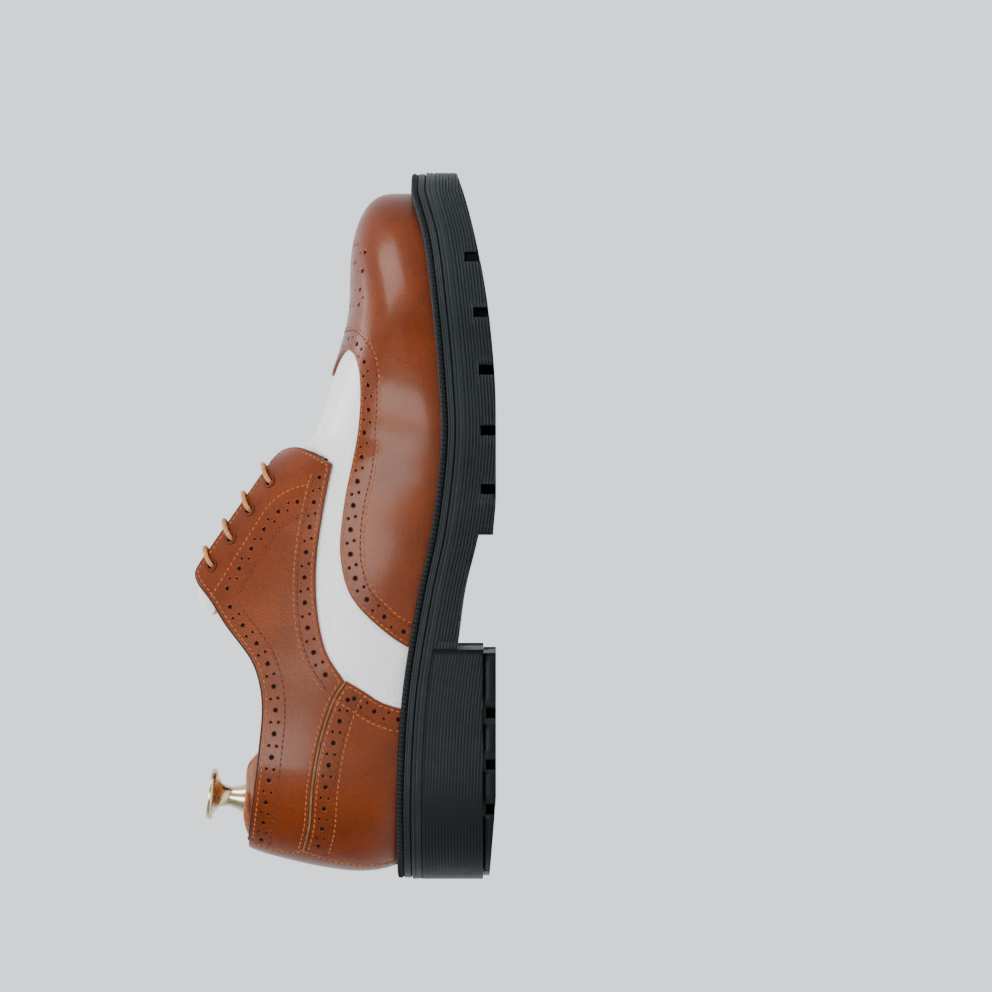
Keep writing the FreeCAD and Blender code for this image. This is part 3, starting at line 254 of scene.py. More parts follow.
def step_left(points, tangents, distance, raised):
    """Chart points moved over the surface, to the left of their tangents if the distance is positive."""
    left = np.stack([-tangents[:, 1], tangents[:, 0]], -1)
    by_s, by_t = stretch(points, raised)
    moved = np.linalg.norm(by_s * left[:, :1] + by_t * left[:, 1:], axis=1, keepdims=True)
    least = 0.2 * np.linalg.norm(left, axis=1, keepdims=True)
    return points + left * distance / np.maximum(moved, least)


def beside(path, distance, raised=0):
    """The path moved sideways over the surface by a distance: to its left in the chart if positive."""
    path = np.array(path, float)
    return step_left(path, np.gradient(path, axis=0), distance, raised)


def spaced(path, raised, pitch, start=0.0, stop=0.0):
    """Chart points every pitch along the path in space, with their count fitted to its length."""
    points = upper(path, raised)
    run = np.concatenate([[0], np.cumsum(np.linalg.norm(np.diff(points, axis=0), axis=1))])
    count = max(int(round((run[-1] - start - stop) / pitch)), 1)
    places = np.linspace(start, run[-1] - stop, count + 1)
    return np.stack([np.interp(places, run, path[:, k]) for k in (0, 1)], -1)


# ---- meshes -----------------------------------------------------------------------------------------

def make(name, points, faces, material, body="shoe", replaces=(), slot=None, sharp=50, normals=None):
    """A smooth-shaded mesh from millimetre points, riding on a body, with normals where they are known."""
    mesh = bpy.data.meshes.new(name)
    mesh.from_pydata((np.asarray(points, float) * MM).tolist(), [], [tuple(map(int, f)) for f in faces])
    mesh.validate()
    mesh.polygons.foreach_set("use_smooth", [True] * len(mesh.polygons))
    mesh.set_sharp_from_angle(angle=math.radians(sharp))
    if normals is not None:
        mesh.normals_split_custom_set_from_vertices(normals.tolist())
    mesh.materials.append(material)
    item = bpy.data.objects.new(name, mesh)
    bpy.context.scene.collection.objects.link(item)
    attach(item, body)
    if replaces:
        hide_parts(*replaces)
    return item


class Heap:
    """Points and faces gathered from several shapes into one mesh."""

    def __init__(self):
        self.points, self.faces, self.count, self.normals = [], [], 0, []

    def add(self, points, faces, normals=None):
        faces = np.asarray(faces) + self.count if not isinstance(faces, list) else [
            tuple(i + self.count for i in f) for f in faces]
        self.points.append(np.asarray(points, float))
        self.normals.append(np.zeros((len(points), 3)) if normals is None else normals)
        self.faces.extend(map(tuple, faces))
        self.count += len(points)

    def make(self, name, material, **options):
        return make(name, np.concatenate(self.points), self.faces, material,
                    normals=np.concatenate(self.normals), **options)


def grid_faces(rows, columns, closed=False):
    """Quads of a grid whose points run row by row; closed joins the last column to the first."""
    wide = columns if closed else columns - 1
    i, j = np.meshgrid(np.arange(rows - 1), np.arange(wide), indexing="ij")
    k = (j + 1) % columns
    return np.stack([i * columns + j, i * columns + k, (i + 1) * columns + k, (i + 1) * columns + j],
                    -1).reshape(-1, 4)


def in_polygon(points, polygon):
    inside = np.zeros(len(points), bool)
    x, y = points.T
    for (x0, y0), (x1, y1) in zip(polygon, np.roll(polygon, -1, axis=0)):
        if y0 != y1:
            inside ^= ((y0 > y) != (y1 > y)) & (x < (x1 - x0) * (y - y0) / (y1 - y0) + x0)
    return inside


def counter_clockwise(loop):
    x, y = loop.T
    area = np.sum(x * np.roll(y, -1) - np.roll(x, -1) * y)
    return loop if area > 0 else loop[::-1]


def tidy_loop(loop):
    keep = np.linalg.norm(loop - np.roll(loop, 1, axis=0), axis=1) > 0.12
    return loop[keep]


def beside_loop(loop, distance, raised):
    tripled = np.concatenate([loop[-2:], loop, loop[:2]])
    return beside(tripled, distance, raised)[2:-2]


# Who a chain's points belong to: the outline, or nobody; a hole's number is its own.
RIM, INNER = -1, -2


class Panel:
    """A piece of leather cut to a chart loop, with punched holes, stitch channels and rounded edges."""

    def __init__(self, loop, raised=0, top=0.0, thick=OUTER):
        self.loop = counter_clockwise(tidy_loop(np.asarray(loop, float)))
        self.raised, self.top, self.thick = raised, top, thick
        self.holes, self.channels = [], []

    def punch(self, centres, radius):
        for centre in centres:
            if in_polygon(np.array([centre]), self.loop)[0]:
                self.holes.append((np.array(centre), radius))

    def ring(self, centre, radius, count):
        by_s, by_t = (v[0] for v in stretch([centre], self.raised))
        frame_s = by_s / np.linalg.norm(by_s)
        frame_t = by_t - frame_s * (by_t @ frame_s)
        frame_t = frame_t / np.linalg.norm(frame_t)
        jacobian = np.stack([by_s, by_t], 1)
        angles = np.arange(count) * 2 * np.pi / count
        steps = radius * (np.cos(angles)[:, None] * frame_s + np.sin(angles)[:, None] * frame_t)
        return centre + (np.linalg.pinv(jacobian) @ steps.T).T

    def chain(self, points, depth, closed, owner=INNER):
        """Adds a chain of chart points whose edges the mesh must keep, and gives their numbers."""
        first, count = len(self.spots), len(points)
        self.spots.extend(map(tuple, points))
        self.depths.extend([depth] * count)
        self.owners.extend([owner] * count)
        self.edges.extend((first + i, first + (i + 1) % count) for i in range(count if closed else count - 1))
        return list(range(first, first + count))

    def draw_chains(self):
        """The outline, the holes and the stitch channels as chains; gives the outer and the hole rims."""
        self.spots, self.depths, self.edges, self.owners = [], [], [], []
        rims = [self.chain(self.loop, self.top + 0.5, True, RIM)]
        for inset, drop in ((0.22, 0.16), (0.75, 0.0)):
            self.chain(beside_loop(self.loop, inset, self.raised), self.top + drop, True)
        for number, (centre, radius) in enumerate(self.holes):
            count = 14 if radius > 0.7 else 9
            rims.append(self.chain(self.ring(centre, radius, count), self.top + 0.38, True, number))
            self.chain(self.ring(centre, radius + 0.42, count), self.top, True)
        for path in self.channels:
            path = path[in_polygon(path, self.loop)]
            for offset, drop in ((-0.55, 0.0), (0.0, 0.28), (0.55, 0.0)):
                if len(path) > 3:
                    self.chain(beside(path, offset, self.raised), self.top + drop, False)
        return rims

    def fill(self, spacing):
        """Scatters an even grid of points over what the chains leave free."""
        near = kdtree.KDTree(len(self.spots))
        for i, spot in enumerate(self.spots):
            near.insert((spot[0], spot[1], 0), i)
        near.balance()
        low, high = self.loop.min(0), self.loop.max(0)
        xs = np.arange(low[0], high[0], spacing)
        ys = np.arange(low[1], high[1], spacing * 0.87)
        grid = np.stack(np.meshgrid(xs, ys, indexing="ij"), -1)
        grid[:, ::2, 0] += spacing / 2
        grid = grid.reshape(-1, 2)
        grid = grid[in_polygon(grid, self.loop)]
        holes = np.array([h[0] for h in self.holes]) if self.holes else np.zeros((0, 2))
        for point in grid:
            if near.find((point[0], point[1], 0))[2] < 0.8:
                continue
            if len(holes) and np.min(np.linalg.norm(holes - point, axis=1)) < 1.2:
                continue
            self.spots.append(tuple(point))
            self.depths.append(self.top)
            self.owners.append(INNER)

    def build(self, heap, spacing=2.4):
        """Adds the panel's faces to a heap."""
        rims = self.draw_chains()
        self.fill(spacing)
        flat_spots = [Vector(p) for p in self.spots]
        made, _, faces, origin, _, _ = delaunay_2d_cdt(flat_spots, self.edges, [], 1, 1e-4)
        depth = np.array([max((self.depths[i] for i in o), default=self.top) for o in origin])
        holder = [next((self.owners[i] for i in o if self.owners[i] >= 0), -1) for o in origin]
        kept = [f for f in faces if not (holder[f[0]] >= 0 and holder[f[0]] == holder[f[1]] == holder[f[2]])]
        chart = np.array([tuple(p) for p in made])
        points = upper(chart, self.raised, depth)
        away = normals_at(chart, self.raised)
        plain = [owner == INNER and level == self.top for owner, level in zip(self.owners, self.depths)]
        flat = np.array([all(plain[i] for i in o) for o in origin])
        heap.add(points, flipped_outward(points, kept, away), away * flat[:, None])
        place = {i: n for n, o in enumerate(origin) for i in o}
        self.add_walls(heap, points, chart, [[place[i] for i in loop if i in place] for loop in rims])

    def add_walls(self, heap, points, chart, rims):
        """The panel's edge, the holes' walls, and a near-black disc in each hole that is painted shade for
        the hole's depth.
        """
        for centre, radius in self.holes:
            if radius == EYELET_HOLE:
                continue
            # a near-black disc just above the panel's underside in each hole: painted shade, not the backing
            # leather
            floor = upper(self.ring(centre, radius + 0.1, 10), self.raised, self.top + self.thick - 0.25)
            HOLE_SHADE_DISCS.add(floor, [tuple(range(10))])
        for ids in rims:
            ring_low = upper(chart[ids], self.raised, self.top + self.thick)
            heap.add(np.concatenate([points[ids], ring_low]), grid_faces(2, len(ids), closed=True))


# Near-black discs inside the perforations: painted shade for the holes' depth.
HOLE_SHADE_DISCS = Heap()


def flipped_outward(points, faces, normals):
    """The triangles, each wound so that it faces the way its points' normals do."""
    f = np.array(faces)
    a, b, c = points[f[:, 0]], points[f[:, 1]], points[f[:, 2]]
    wrong = np.einsum("ij,ij->i", np.cross(b - a, c - a), normals[f[:, 0]]) < 0
    f[wrong] = f[wrong][:, ::-1]
    return f


def swept(path, first, second, half_first, half_second, count=12):
    """Points and faces of an oval bar along a path; first and second are its section's directions."""
    angles = np.arange(count) * 2 * np.pi / count
    rings = (path[:, None] + first[:, None] * (np.cos(angles) * half_first)[None, :, None]
             + second[:, None] * (np.sin(angles) * half_second)[None, :, None])
    faces = [tuple(f) for f in grid_faces(len(path), count, closed=True)]
    faces.append(tuple(range(count)))
    faces.append(tuple(range((len(path) - 1) * count, len(path) * count))[::-1])
    return rings.reshape(-1, 3), faces


def unit(vectors):
    return vectors / np.maximum(np.linalg.norm(vectors, axis=-1, keepdims=True), 1e-9)


def bead(chart_path, raised, depth, half_out, half_up):
    """An oval bar that follows a chart path, depth below the outside."""
    points = upper(chart_path, raised, depth)
    normals = normals_at(chart_path, raised)
    across = unit(np.cross(np.gradient(points, axis=0), normals))
    return swept(points, normals, across, half_out, half_up)


def stitches(heap, chart_path, raised, top=0.0, pitch=2.55, length=1.95, thread=0.34, slant=0.12):
    """A row of thread stitches, each a small arched capsule that dips into the leather at its ends."""
    centres = spaced(chart_path, raised, pitch, pitch / 2, pitch / 2)
    if len(centres) < 3:
        return
    points = upper(centres, raised, top)
    normals = normals_at(centres, raised)
    along = unit(np.gradient(points, axis=0))
    across = unit(np.cross(normals, along))
    angle = slant + RANDOM.normal(0, 0.05, len(points))
    heading = along * np.cos(angle)[:, None] + across * np.sin(angle)[:, None]
    across = unit(np.cross(normals, heading))
    stations = np.array([-0.5, -0.42, -0.2, 0.2, 0.42, 0.5])
    sizes = np.array([0.25, 0.8, 1.0, 1.0, 0.8, 0.25])
    turns = np.arange(7) * 2 * np.pi / 7
    lift = 0.16 - 0.75 * np.abs(stations * 2) ** 3 * thread
    shape = np.stack(np.broadcast_arrays(stations[:, None] * length,
                                         sizes[:, None] * thread * np.cos(turns),
                                         lift[:, None] + sizes[:, None] * thread * 0.8 * np.sin(turns)), -1)
    shape = shape.reshape(-1, 3)
    scale = 1 + RANDOM.normal(0, 0.04, (len(points), 1, 1))
    bars = (points[:, None] + heading[:, None] * shape[:, :1] * scale + across[:, None] * shape[:, 1:2]
            + normals[:, None] * shape[:, 2:])
    faces = grid_faces(len(stations), len(turns), closed=True)
    for bar in bars:
        heap.add(bar, faces)


# ---- materials --------------------------------------------------------------------------------------

def rgb(red, green, blue):
    """A linear colour from 0 to 255 display values."""
    return tuple((v / 255) ** 2.2 for v in (red, green, blue)) + (1.0,)


class Painter:
    """A node material with the pieces that the finishes below share."""

    def __init__(self, name, base, roughness, metallic=0.0, coat=0.0, coat_roughness=0.2, shine=(1, 1, 1, 1)):
        self.material = bpy.data.materials.new(name)
        self.material.use_nodes = True
        self.nodes, self.links = self.material.node_tree.nodes, self.material.node_tree.links
        self.shader = self.nodes["Principled BSDF"]
        self.shader.inputs["Base Color"].default_value = base
        self.shader.inputs["Roughness"].default_value = roughness
        self.shader.inputs["Metallic"].default_value = metallic
        self.shader.inputs["Coat Weight"].default_value = coat
        self.shader.inputs["Coat Roughness"].default_value = coat_roughness
        self.shader.inputs["Specular IOR Level"].default_value = 0.3
        self.shader.inputs["Specular Tint"].default_value = shine
        self.places = self.nodes.new("ShaderNodeTexCoord").outputs["Object"]
        self.last_normal = None

    def noise(self, scale, detail=4.0, roughness=0.55, stretch=None):
        node = self.nodes.new("ShaderNodeTexNoise")
        node.inputs["Scale"].default_value = scale
        node.inputs["Detail"].default_value = detail
        node.inputs["Roughness"].default_value = roughness
        self.links.new(self.stretched(stretch), node.inputs["Vector"])
        return node.outputs["Fac"]

    def cells(self, scale):
        node = self.nodes.new("ShaderNodeTexVoronoi")
        node.inputs["Scale"].default_value = scale
        self.links.new(self.places, node.inputs["Vector"])
        return node.outputs["Distance"]

    def waves(self, scale, distortion, stretch=None, direction="X"):
        node = self.nodes.new("ShaderNodeTexWave")
        node.bands_direction = direction
        node.inputs["Scale"].default_value = scale
        node.inputs["Distortion"].default_value = distortion
        node.inputs["Detail"].default_value = 3.0
        self.links.new(self.stretched(stretch), node.inputs["Vector"])
        return node.outputs["Fac"]

    def stretched(self, factors):
        if factors is None:
            return self.places
        node = self.nodes.new("ShaderNodeMapping")
        node.inputs["Scale"].default_value = factors
        self.links.new(self.places, node.inputs["Vector"])
        return node.outputs["Vector"]

    def ramp(self, value, stops):
        node = self.nodes.new("ShaderNodeValToRGB")
        band = node.color_ramp
        while len(band.elements) < len(stops):
            band.elements.new(0.5)
        for element, (place, colour) in zip(band.elements, stops):
            element.position = place
            element.color = colour
        self.links.new(value, node.inputs["Fac"])
        return node.outputs["Color"]

    def blend(self, share, first, second, mode="MIX"):
        node = self.nodes.new("ShaderNodeMix")
        node.data_type = "RGBA"
        node.blend_type = mode
        for socket, value in ((node.inputs[0], share), (node.inputs[6], first), (node.inputs[7], second)):
            if isinstance(value, (float, tuple)):
                socket.default_value = value
            else:
                self.links.new(value, socket)
        return node.outputs[2]

    def spread(self, value, low, high):
        node = self.nodes.new("ShaderNodeMapRange")
        node.inputs["To Min"].default_value = low
        node.inputs["To Max"].default_value = high
        self.links.new(value, node.inputs["Value"])
        return node.outputs["Result"]

    def colour(self, socket):
        self.links.new(socket, self.shader.inputs["Base Color"])

    def rough(self, value, low, high):
        self.links.new(self.spread(value, low, high), self.shader.inputs["Roughness"])

    def bump(self, height, distance):
        node = self.nodes.new("ShaderNodeBump")
        node.inputs["Distance"].default_value = distance
        self.links.new(height, node.inputs["Height"])
        if self.last_normal is not None:
            self.links.new(self.last_normal, node.inputs["Normal"])
        self.last_normal = node.outputs["Normal"]
        self.links.new(self.last_normal, self.shader.inputs["Normal"])


def polished_leather(name, light, dark, coat=0.6, grain=1.0, shine=(1, 0.72, 0.5, 1)):
    """Calf leather rubbed with polish: blotches, pores and fine creases under a soft shine."""
    paint = Painter(name, light, 0.4, coat=coat, coat_roughness=0.17, shine=shine)
    blotches = paint.noise(38, 5, 0.6)
    tone = paint.ramp(blotches, [(0.32, dark), (0.68, light)])
    specks = paint.ramp(paint.noise(900, 3), [(0.35, (0.72, 0.68, 0.66, 1)), (0.6, (1, 1, 1, 1))])
    paint.colour(paint.blend(0.5, tone, specks, "MULTIPLY"))
    paint.rough(paint.noise(160, 4), 0.3, 0.5)
    paint.bump(paint.cells(1500), 0.00006 * grain)
    paint.bump(paint.noise(420, 5, 0.6), 0.0001 * grain)
    return paint.material


def rubber(name, light, dark):
    paint = Painter(name, light, 0.5, shine=(0.75, 0.8, 0.85, 1))
    paint.colour(paint.ramp(paint.noise(60, 4), [(0.3, dark), (0.7, light)]))
    paint.rough(paint.noise(300, 4), 0.4, 0.62)
    paint.bump(paint.noise(1800, 3), 0.00005)
    return paint.material


def suede(name, light, dark, depth=0.00012):
    paint = Painter(name, light, 0.8)
    paint.colour(paint.ramp(paint.noise(220, 5, 0.7), [(0.3, dark), (0.7, light)]))
    paint.bump(paint.noise(1100, 5, 0.7), depth)
    return paint.material


def wood(name, light, dark):
    """Oiled cedar with its grain along the shoe."""
    paint = Painter(name, light, 0.42, coat=0.15, coat_roughness=0.3)
    rings = paint.waves(75, 5.5, (0.25, 1.0, 1.0), "Z")
    figure = paint.ramp(rings, [(0.1, dark), (0.75, light)])
    fine = paint.noise(900, 3, 0.6, (0.06, 1, 1))
    pores = paint.ramp(fine, [(0.38, (0.55, 0.5, 0.48, 1)), (0.56, (1, 1, 1, 1))])
    paint.colour(paint.blend(0.75, figure, pores, "MULTIPLY"))
    paint.rough(rings, 0.36, 0.52)
    paint.bump(paint.noise(900, 3, 0.6, (0.06, 1, 1)), 0.00008)
    return paint.material


def brushed(name, tint, roughness):
    paint = Painter(name, tint, roughness, metallic=1.0)
    paint.rough(paint.noise(1200, 3, 0.6, (1, 1, 0.08)), roughness * 0.75, roughness * 1.3)
    paint.bump(paint.noise(1500, 2, 0.5, (1, 1, 0.05)), 0.00001)
    return paint.material


def threads(name, light, dark):
    paint = Painter(name, light, 0.55)
    paint.colour(paint.ramp(paint.noise(700, 3), [(0.3, dark), (0.7, light)]))
    paint.bump(paint.waves(1500, 2.0, direction="DIAGONAL"), 0.00006)
    return paint.material


TAN = polished_leather("tan_calf", (0.146, 0.0205, 0.0008, 1), (0.090, 0.0110, 0.0004, 1), coat=0.22)
BAND_TAN = polished_leather("tan_calf_band", (0.132, 0.018, 0.0008, 1), (0.082, 0.010, 0.0004, 1), coat=0.2)
DARK_EDGE = polished_leather("painted_edge", (0.020, 0.007, 0.003, 1), (0.010, 0.004, 0.002, 1), coat=0.0,
                             grain=1.5)
WHITE = polished_leather("white_calf", rgb(236, 236, 234), rgb(228, 228, 226), coat=0.3, grain=0.8,
                         shine=(1, 1, 1, 1))
PIPING = suede("pale_piping", rgb(132, 92, 58), rgb(96, 62, 36))
LINING = suede("lining_calf", rgb(206, 176, 138), rgb(188, 154, 116))
INSIDE = suede("insole_leather", rgb(196, 160, 120), rgb(172, 136, 96))
BOARD = suede("board", rgb(92, 58, 36), rgb(66, 40, 26))
CORK = suede("cork", rgb(150, 110, 70), rgb(96, 66, 40), 0.0004)
RUBBER = rubber("black_rubber", (0.0105, 0.0132, 0.0150, 1), (0.0066, 0.0084, 0.0096, 1))
HEEL_RUBBER = rubber("heel_rubber", (0.0012, 0.0016, 0.0018, 1), (0.0006, 0.0008, 0.0009, 1))
RAND_RUBBER = rubber("rand_rubber", (0.0040, 0.0043, 0.0044, 1), (0.0018, 0.0020, 0.0020, 1))
LACE = threads("waxed_cotton", rgb(204, 142, 92), rgb(176, 112, 64))
STITCH = threads("tan_thread", rgb(176, 98, 52), rgb(136, 66, 28))
# Near-black suede for the discs inside the perforations: painted shade, not the backing's colour.
HOLE_PAINTED_SHADE = suede("perforation_painted_shade", rgb(26, 11, 6), rgb(14, 6, 3))
DARK_STITCH = threads("brown_thread", rgb(112, 50, 22), rgb(78, 32, 12))
EYELET = polished_leather("enamelled_eyelet", (0.10, 0.014, 0.001, 1), (0.06, 0.008, 0.0006, 1), coat=0.1)
STEEL = brushed("bright_steel", rgb(190, 192, 194), 0.28)
BRASS = brushed("satin_brass", rgb(206, 188, 150), 0.26)
CEDAR = wood("cedar", (0.36, 0.105, 0.028, 1), (0.19, 0.045, 0.011, 1))


# ---- upper ------------------------------------------------------------------------------------------

WING_EDGE = [(64.4, 71), (71.5, 67.5), (74.8, 64), (73.2, 61), (67, 58.4), (56, 57.4), (38.3, 58.7),
             (7.4, 64.5), (-12.8, 65.8), (-29.5, 61.4), (-44.4, 47.4), (-51.9, 35.9), (-56, 25)]
VAMP_FRONT = [(84.1, 66), (84.1, 62), (78.9, 54.3), (63.9, 49.1), (40, 49.5), (10.1, 53.9), (-16.3, 55.2),
              (-33, 46.5), (-40.9, 35.4), (-46, 22)]
VAMP_REAR = [(23, 97), (21, 90), (17, 81.5), (-3.9, 83), (-27.7, 84.5), (-49.7, 81), (-68, 76), (-79, 66),
             (-85, 50), (-88, 30)]
WING_INNER = [(84, 66), (84.3, 62), (83.6, 59), (78.9, 54.3), (71.9, 50.8), (63.9, 49.1), (56, 48.7),
              (40, 49.5), (21.5, 51.2), (10.1, 53.9), (-4, 55.7), (-16.3, 55.2), (-26.8, 51.7), (-33, 46.5),
              (-39.2, 39.4), (-42, 33)]
TAB_FRONT = [(26.3, 69.8), (31.2, 78.5), (33.4, 86), (32, 92.1), (28.1, 96.1)]
TOP_LINE = [(-15.4, 126.4), (-20.2, 128.8), (-24.1, 127.7), (-31.2, 122), (-41.8, 115), (-56.7, 103.6),
            (-66.3, 100), (-76.9, 98.7), (-98.6, 100.5), (-129.5, 104.8), (-150, 108.5)]
QUARTER_EDGE = [(26.3, 69.8), (8.3, 73.2), (-16.3, 76.3), (-38.3, 75.4), (-54, 71.5), (-65.7, 64)]
COUNTER_TOP = [(-65.7, 64), (-72.6, 68.5), (-90.1, 74.5), (-109.6, 78.1), (-128, 79.8), (-138.2, 82.5)]
COUNTER_FRONT = [(-65.7, 64), (-69.9, 57), (-74.3, 50), (-77.4, 40.3), (-80, 28)]
STRAP_LOW = [(-138.2, 82.5), (-141.2, 74.5), (-144.2, 61.4), (-144.6, 49.9), (-143, 42), (-141, 30)]
STRAP_HIGH = [(-138.2, 82.5), (-139, 87.5), (-138.2, 93.9), (-134.2, 105.5)]
FACING_SEAM = [(17.5, 78.5), (15.7, 86), (10.3, 95), (-4, 105), (-30.6, 121.5)]
FACING_HOLES = [(10.5, 83.5), (6.0, 92.5), (-8, 103), (-31, 117)]
FACING_INNER = [(5.5, 81), (2.6, 88.5), (-9.5, 98.4), (-29.3, 111)]
TONGUE_EDGE = [(31, 84), (18, 93.5), (-5, 108), (-22, 118.5), (-33, 121), (-37, 123.5), (-34, 128),
               (-26, 132), (-16, 138)]
BELOW = 1.13 * T_SPAN
EYELET_PLACES = [(18.7, 96.6), (6.7, 105.4), (-5.4, 113.3), (-17.0, 121.6)]
PIPE_HALF = 0.36


def mirrored(path):
    return path * [1, -1]


def line(first, last, step=1.6):
    first, last = np.array(first, float), np.array(last, float)
    count = max(int(np.linalg.norm(last - first) / step), 1)
    return first + (last - first) * np.linspace(0, 1, count + 1)[:, None]


def joined(*paths):
    """One chain from several that follow each other."""
    chain = [paths[0]]
    for path in paths[1:]:
        chain.append(path[1:] if np.linalg.norm(path[0] - chain[-1][-1]) < 0.3 else path)
    return np.concatenate(chain)


def down_to_seat(path):
    """The path carried on to just below the feather line."""
    end = path[-1]
    return joined(path, line(end, (end[0], math.copysign(BELOW, end[1])))) if abs(end[1]) < BELOW else path


def clipped(path):
    """The path without what lies further below the feather line than the panels reach."""
    return path[np.abs(path[:, 1]) <= BELOW]


def over_ridge(side_path):
    """A chain from below the lateral feather line over the ridge to below the medial one."""
    lateral = down_to_seat(clipped(side_path))
    return joined(lateral[::-1], mirrored(lateral))


def brogue(panel, path, first, last, reach=10.2):
    """Punches a band along a path: a large hole every reach, with a pair of small ones between."""
    centres = spaced(path, panel.raised, reach, first, last)
    panel.punch(centres, 0.92)
    between = (centres[1:] + centres[:-1]) / 2
    for offset in (-1.65, 1.65):
        panel.punch(step_left(between, np.diff(centres, axis=0), offset, panel.raised), 0.52)


def seam(panel, heap, path):
    """A stitched channel along a path."""
    on_panel = path[in_polygon(path, panel.loop)]
    if len(on_panel) < 6:
        return
    even = spaced(on_panel, panel.raised, 1.3)
    panel.channels.append(even)
    stitches(heap, even, panel.raised, 0.26)


THREAD, DARK_THREAD = Heap(), Heap()


MEDALLION = [(90, (0, 11)), (93.5, (17, 26, 35)), (96.5, (8, 41)), (100, (0, 27, 36)), (104, (14, 22)),
             (108, (6, 32, 40)), (112, (0, 16, 26)), (116, (9, 36, 43)), (120, (21, 29)), (124, (0, 12))]


def medallion(panel):
    """The punched figure on the toe: fans of holes that narrow towards its tip."""
    for place, offsets in MEDALLION:
        share = np.arccos(1 - 2 * (place - HEEL_END) / (TOE_END - HEEL_END)) / np.pi
        for number, offset in enumerate(offsets):
            for t in {offset, -offset}:
                panel.punch([(share * S_SPAN, t)], 0.92 if number % 2 == 0 else 0.52)


def build_cap():
    edge = over_ridge(on_side(LATERAL, WING_EDGE))
    toe = line((S_SPAN, BELOW), (S_SPAN, -BELOW))
    lateral_foot = line((edge[0][0], -BELOW), (S_SPAN, -BELOW))
    medial_foot = line((S_SPAN, BELOW), (edge[-1][0], BELOW))
    loop = joined(lateral_foot, toe[::-1], medial_foot, edge[::-1])
    panel = Panel(loop, 0, 0.0, OUTER)
    brogue(panel, beside(edge, -4.9), 6, 6)
    seam(panel, THREAD, beside(edge, -1.5))
    inner = over_ridge(on_side(LATERAL, WING_INNER))
    seam(panel, DARK_THREAD, beside(inner, 1.5))
    seam(panel, THREAD, inner)
    medallion(panel)
    heap = Heap()
    panel.build(heap)
    heap.make("wing_cap_leather", TAN, replaces=["wing_cap"], slot="tan_leather")
    return edge


def build_vamp():
    front = over_ridge(on_side(LATERAL, VAMP_FRONT))
    rear = over_ridge(on_side(LATERAL, VAMP_REAR))
    foot = line((rear[0][0], -BELOW), (front[0][0], -BELOW))
    loop = joined(foot, front, mirrored(foot)[::-1], rear[::-1])
    panel = Panel(loop, 0, VAMP_TOP, VAMP_FLOOR - VAMP_TOP)
    heap = Heap()
    panel.build(heap, 3.0)
    heap.make("vamp_leather", WHITE, replaces=["vamp"], slot="white_leather")


def quarter_paths(side):
    names = {"tab": TAB_FRONT, "lace": [TAB_FRONT[-1], TOP_LINE[0]], "top": TOP_LINE, "edge": QUARTER_EDGE,
             "counter": COUNTER_TOP, "strap": STRAP_HIGH, "facing": FACING_SEAM}
    return {name: on_side(side, points, 1) for name, points in names.items()}


def build_quarter(side, word):
    ways = quarter_paths(side)
    top = ways["top"]
    top = top[:int(np.argmin(np.linalg.norm(top - ways["strap"][-1], axis=1))) + 1]
    loop = joined(ways["edge"], ways["counter"], ways["strap"], top[::-1], ways["lace"][::-1],
                  ways["tab"][::-1])
    panel = Panel(loop, 1, 0.0, OUTER)
    low = joined(ways["edge"][::-1], ways["tab"])
    brogue(panel, beside(ways["edge"], 5.0 * side, 1), 4, 6)
    seam(panel, THREAD, beside(low, -1.6 * side, 1))
    seam(panel, DARK_THREAD, beside(ways["edge"], 8.4 * side, 1))
    seam(panel, THREAD, beside(ways["edge"], 10.0 * side, 1))
    rim = joined(ways["lace"], top)
    seam(panel, THREAD, beside(rim, -1.9 * side, 1))
    brogue(panel, beside(top[8:], -5.6 * side, 1), 14, 4)
    seam(panel, DARK_THREAD, beside(top[14:], -9.6 * side, 1))
    seam(panel, THREAD, ways["facing"])
    brogue(panel, on_side(side, FACING_HOLES, 1), 1, 5)
    inner = on_side(side, FACING_INNER, 1)
    seam(panel, DARK_THREAD, inner)
    seam(panel, DARK_THREAD, beside(inner, -1.5 * side, 1))
    seam(panel, THREAD, beside(ways["counter"], 1.5 * side, 1))
    for place, height in EYELET_PLACES:
        panel.punch(locate(side, [(place, height)], 1), EYELET_HOLE)
    heap = Heap()
    panel.build(heap)
    heap.make("quarter_leather_" + word, TAN, replaces=["quarter_" + word], slot="tan_leather")
    collar = Heap()
    collar.add(*bead(joined(ways["tab"][2:], ways["lace"], top), 1, 2.0, 2.02, 0.75))
    collar.make("collar_edge_" + word, DARK_EDGE, slot="tan_leather")


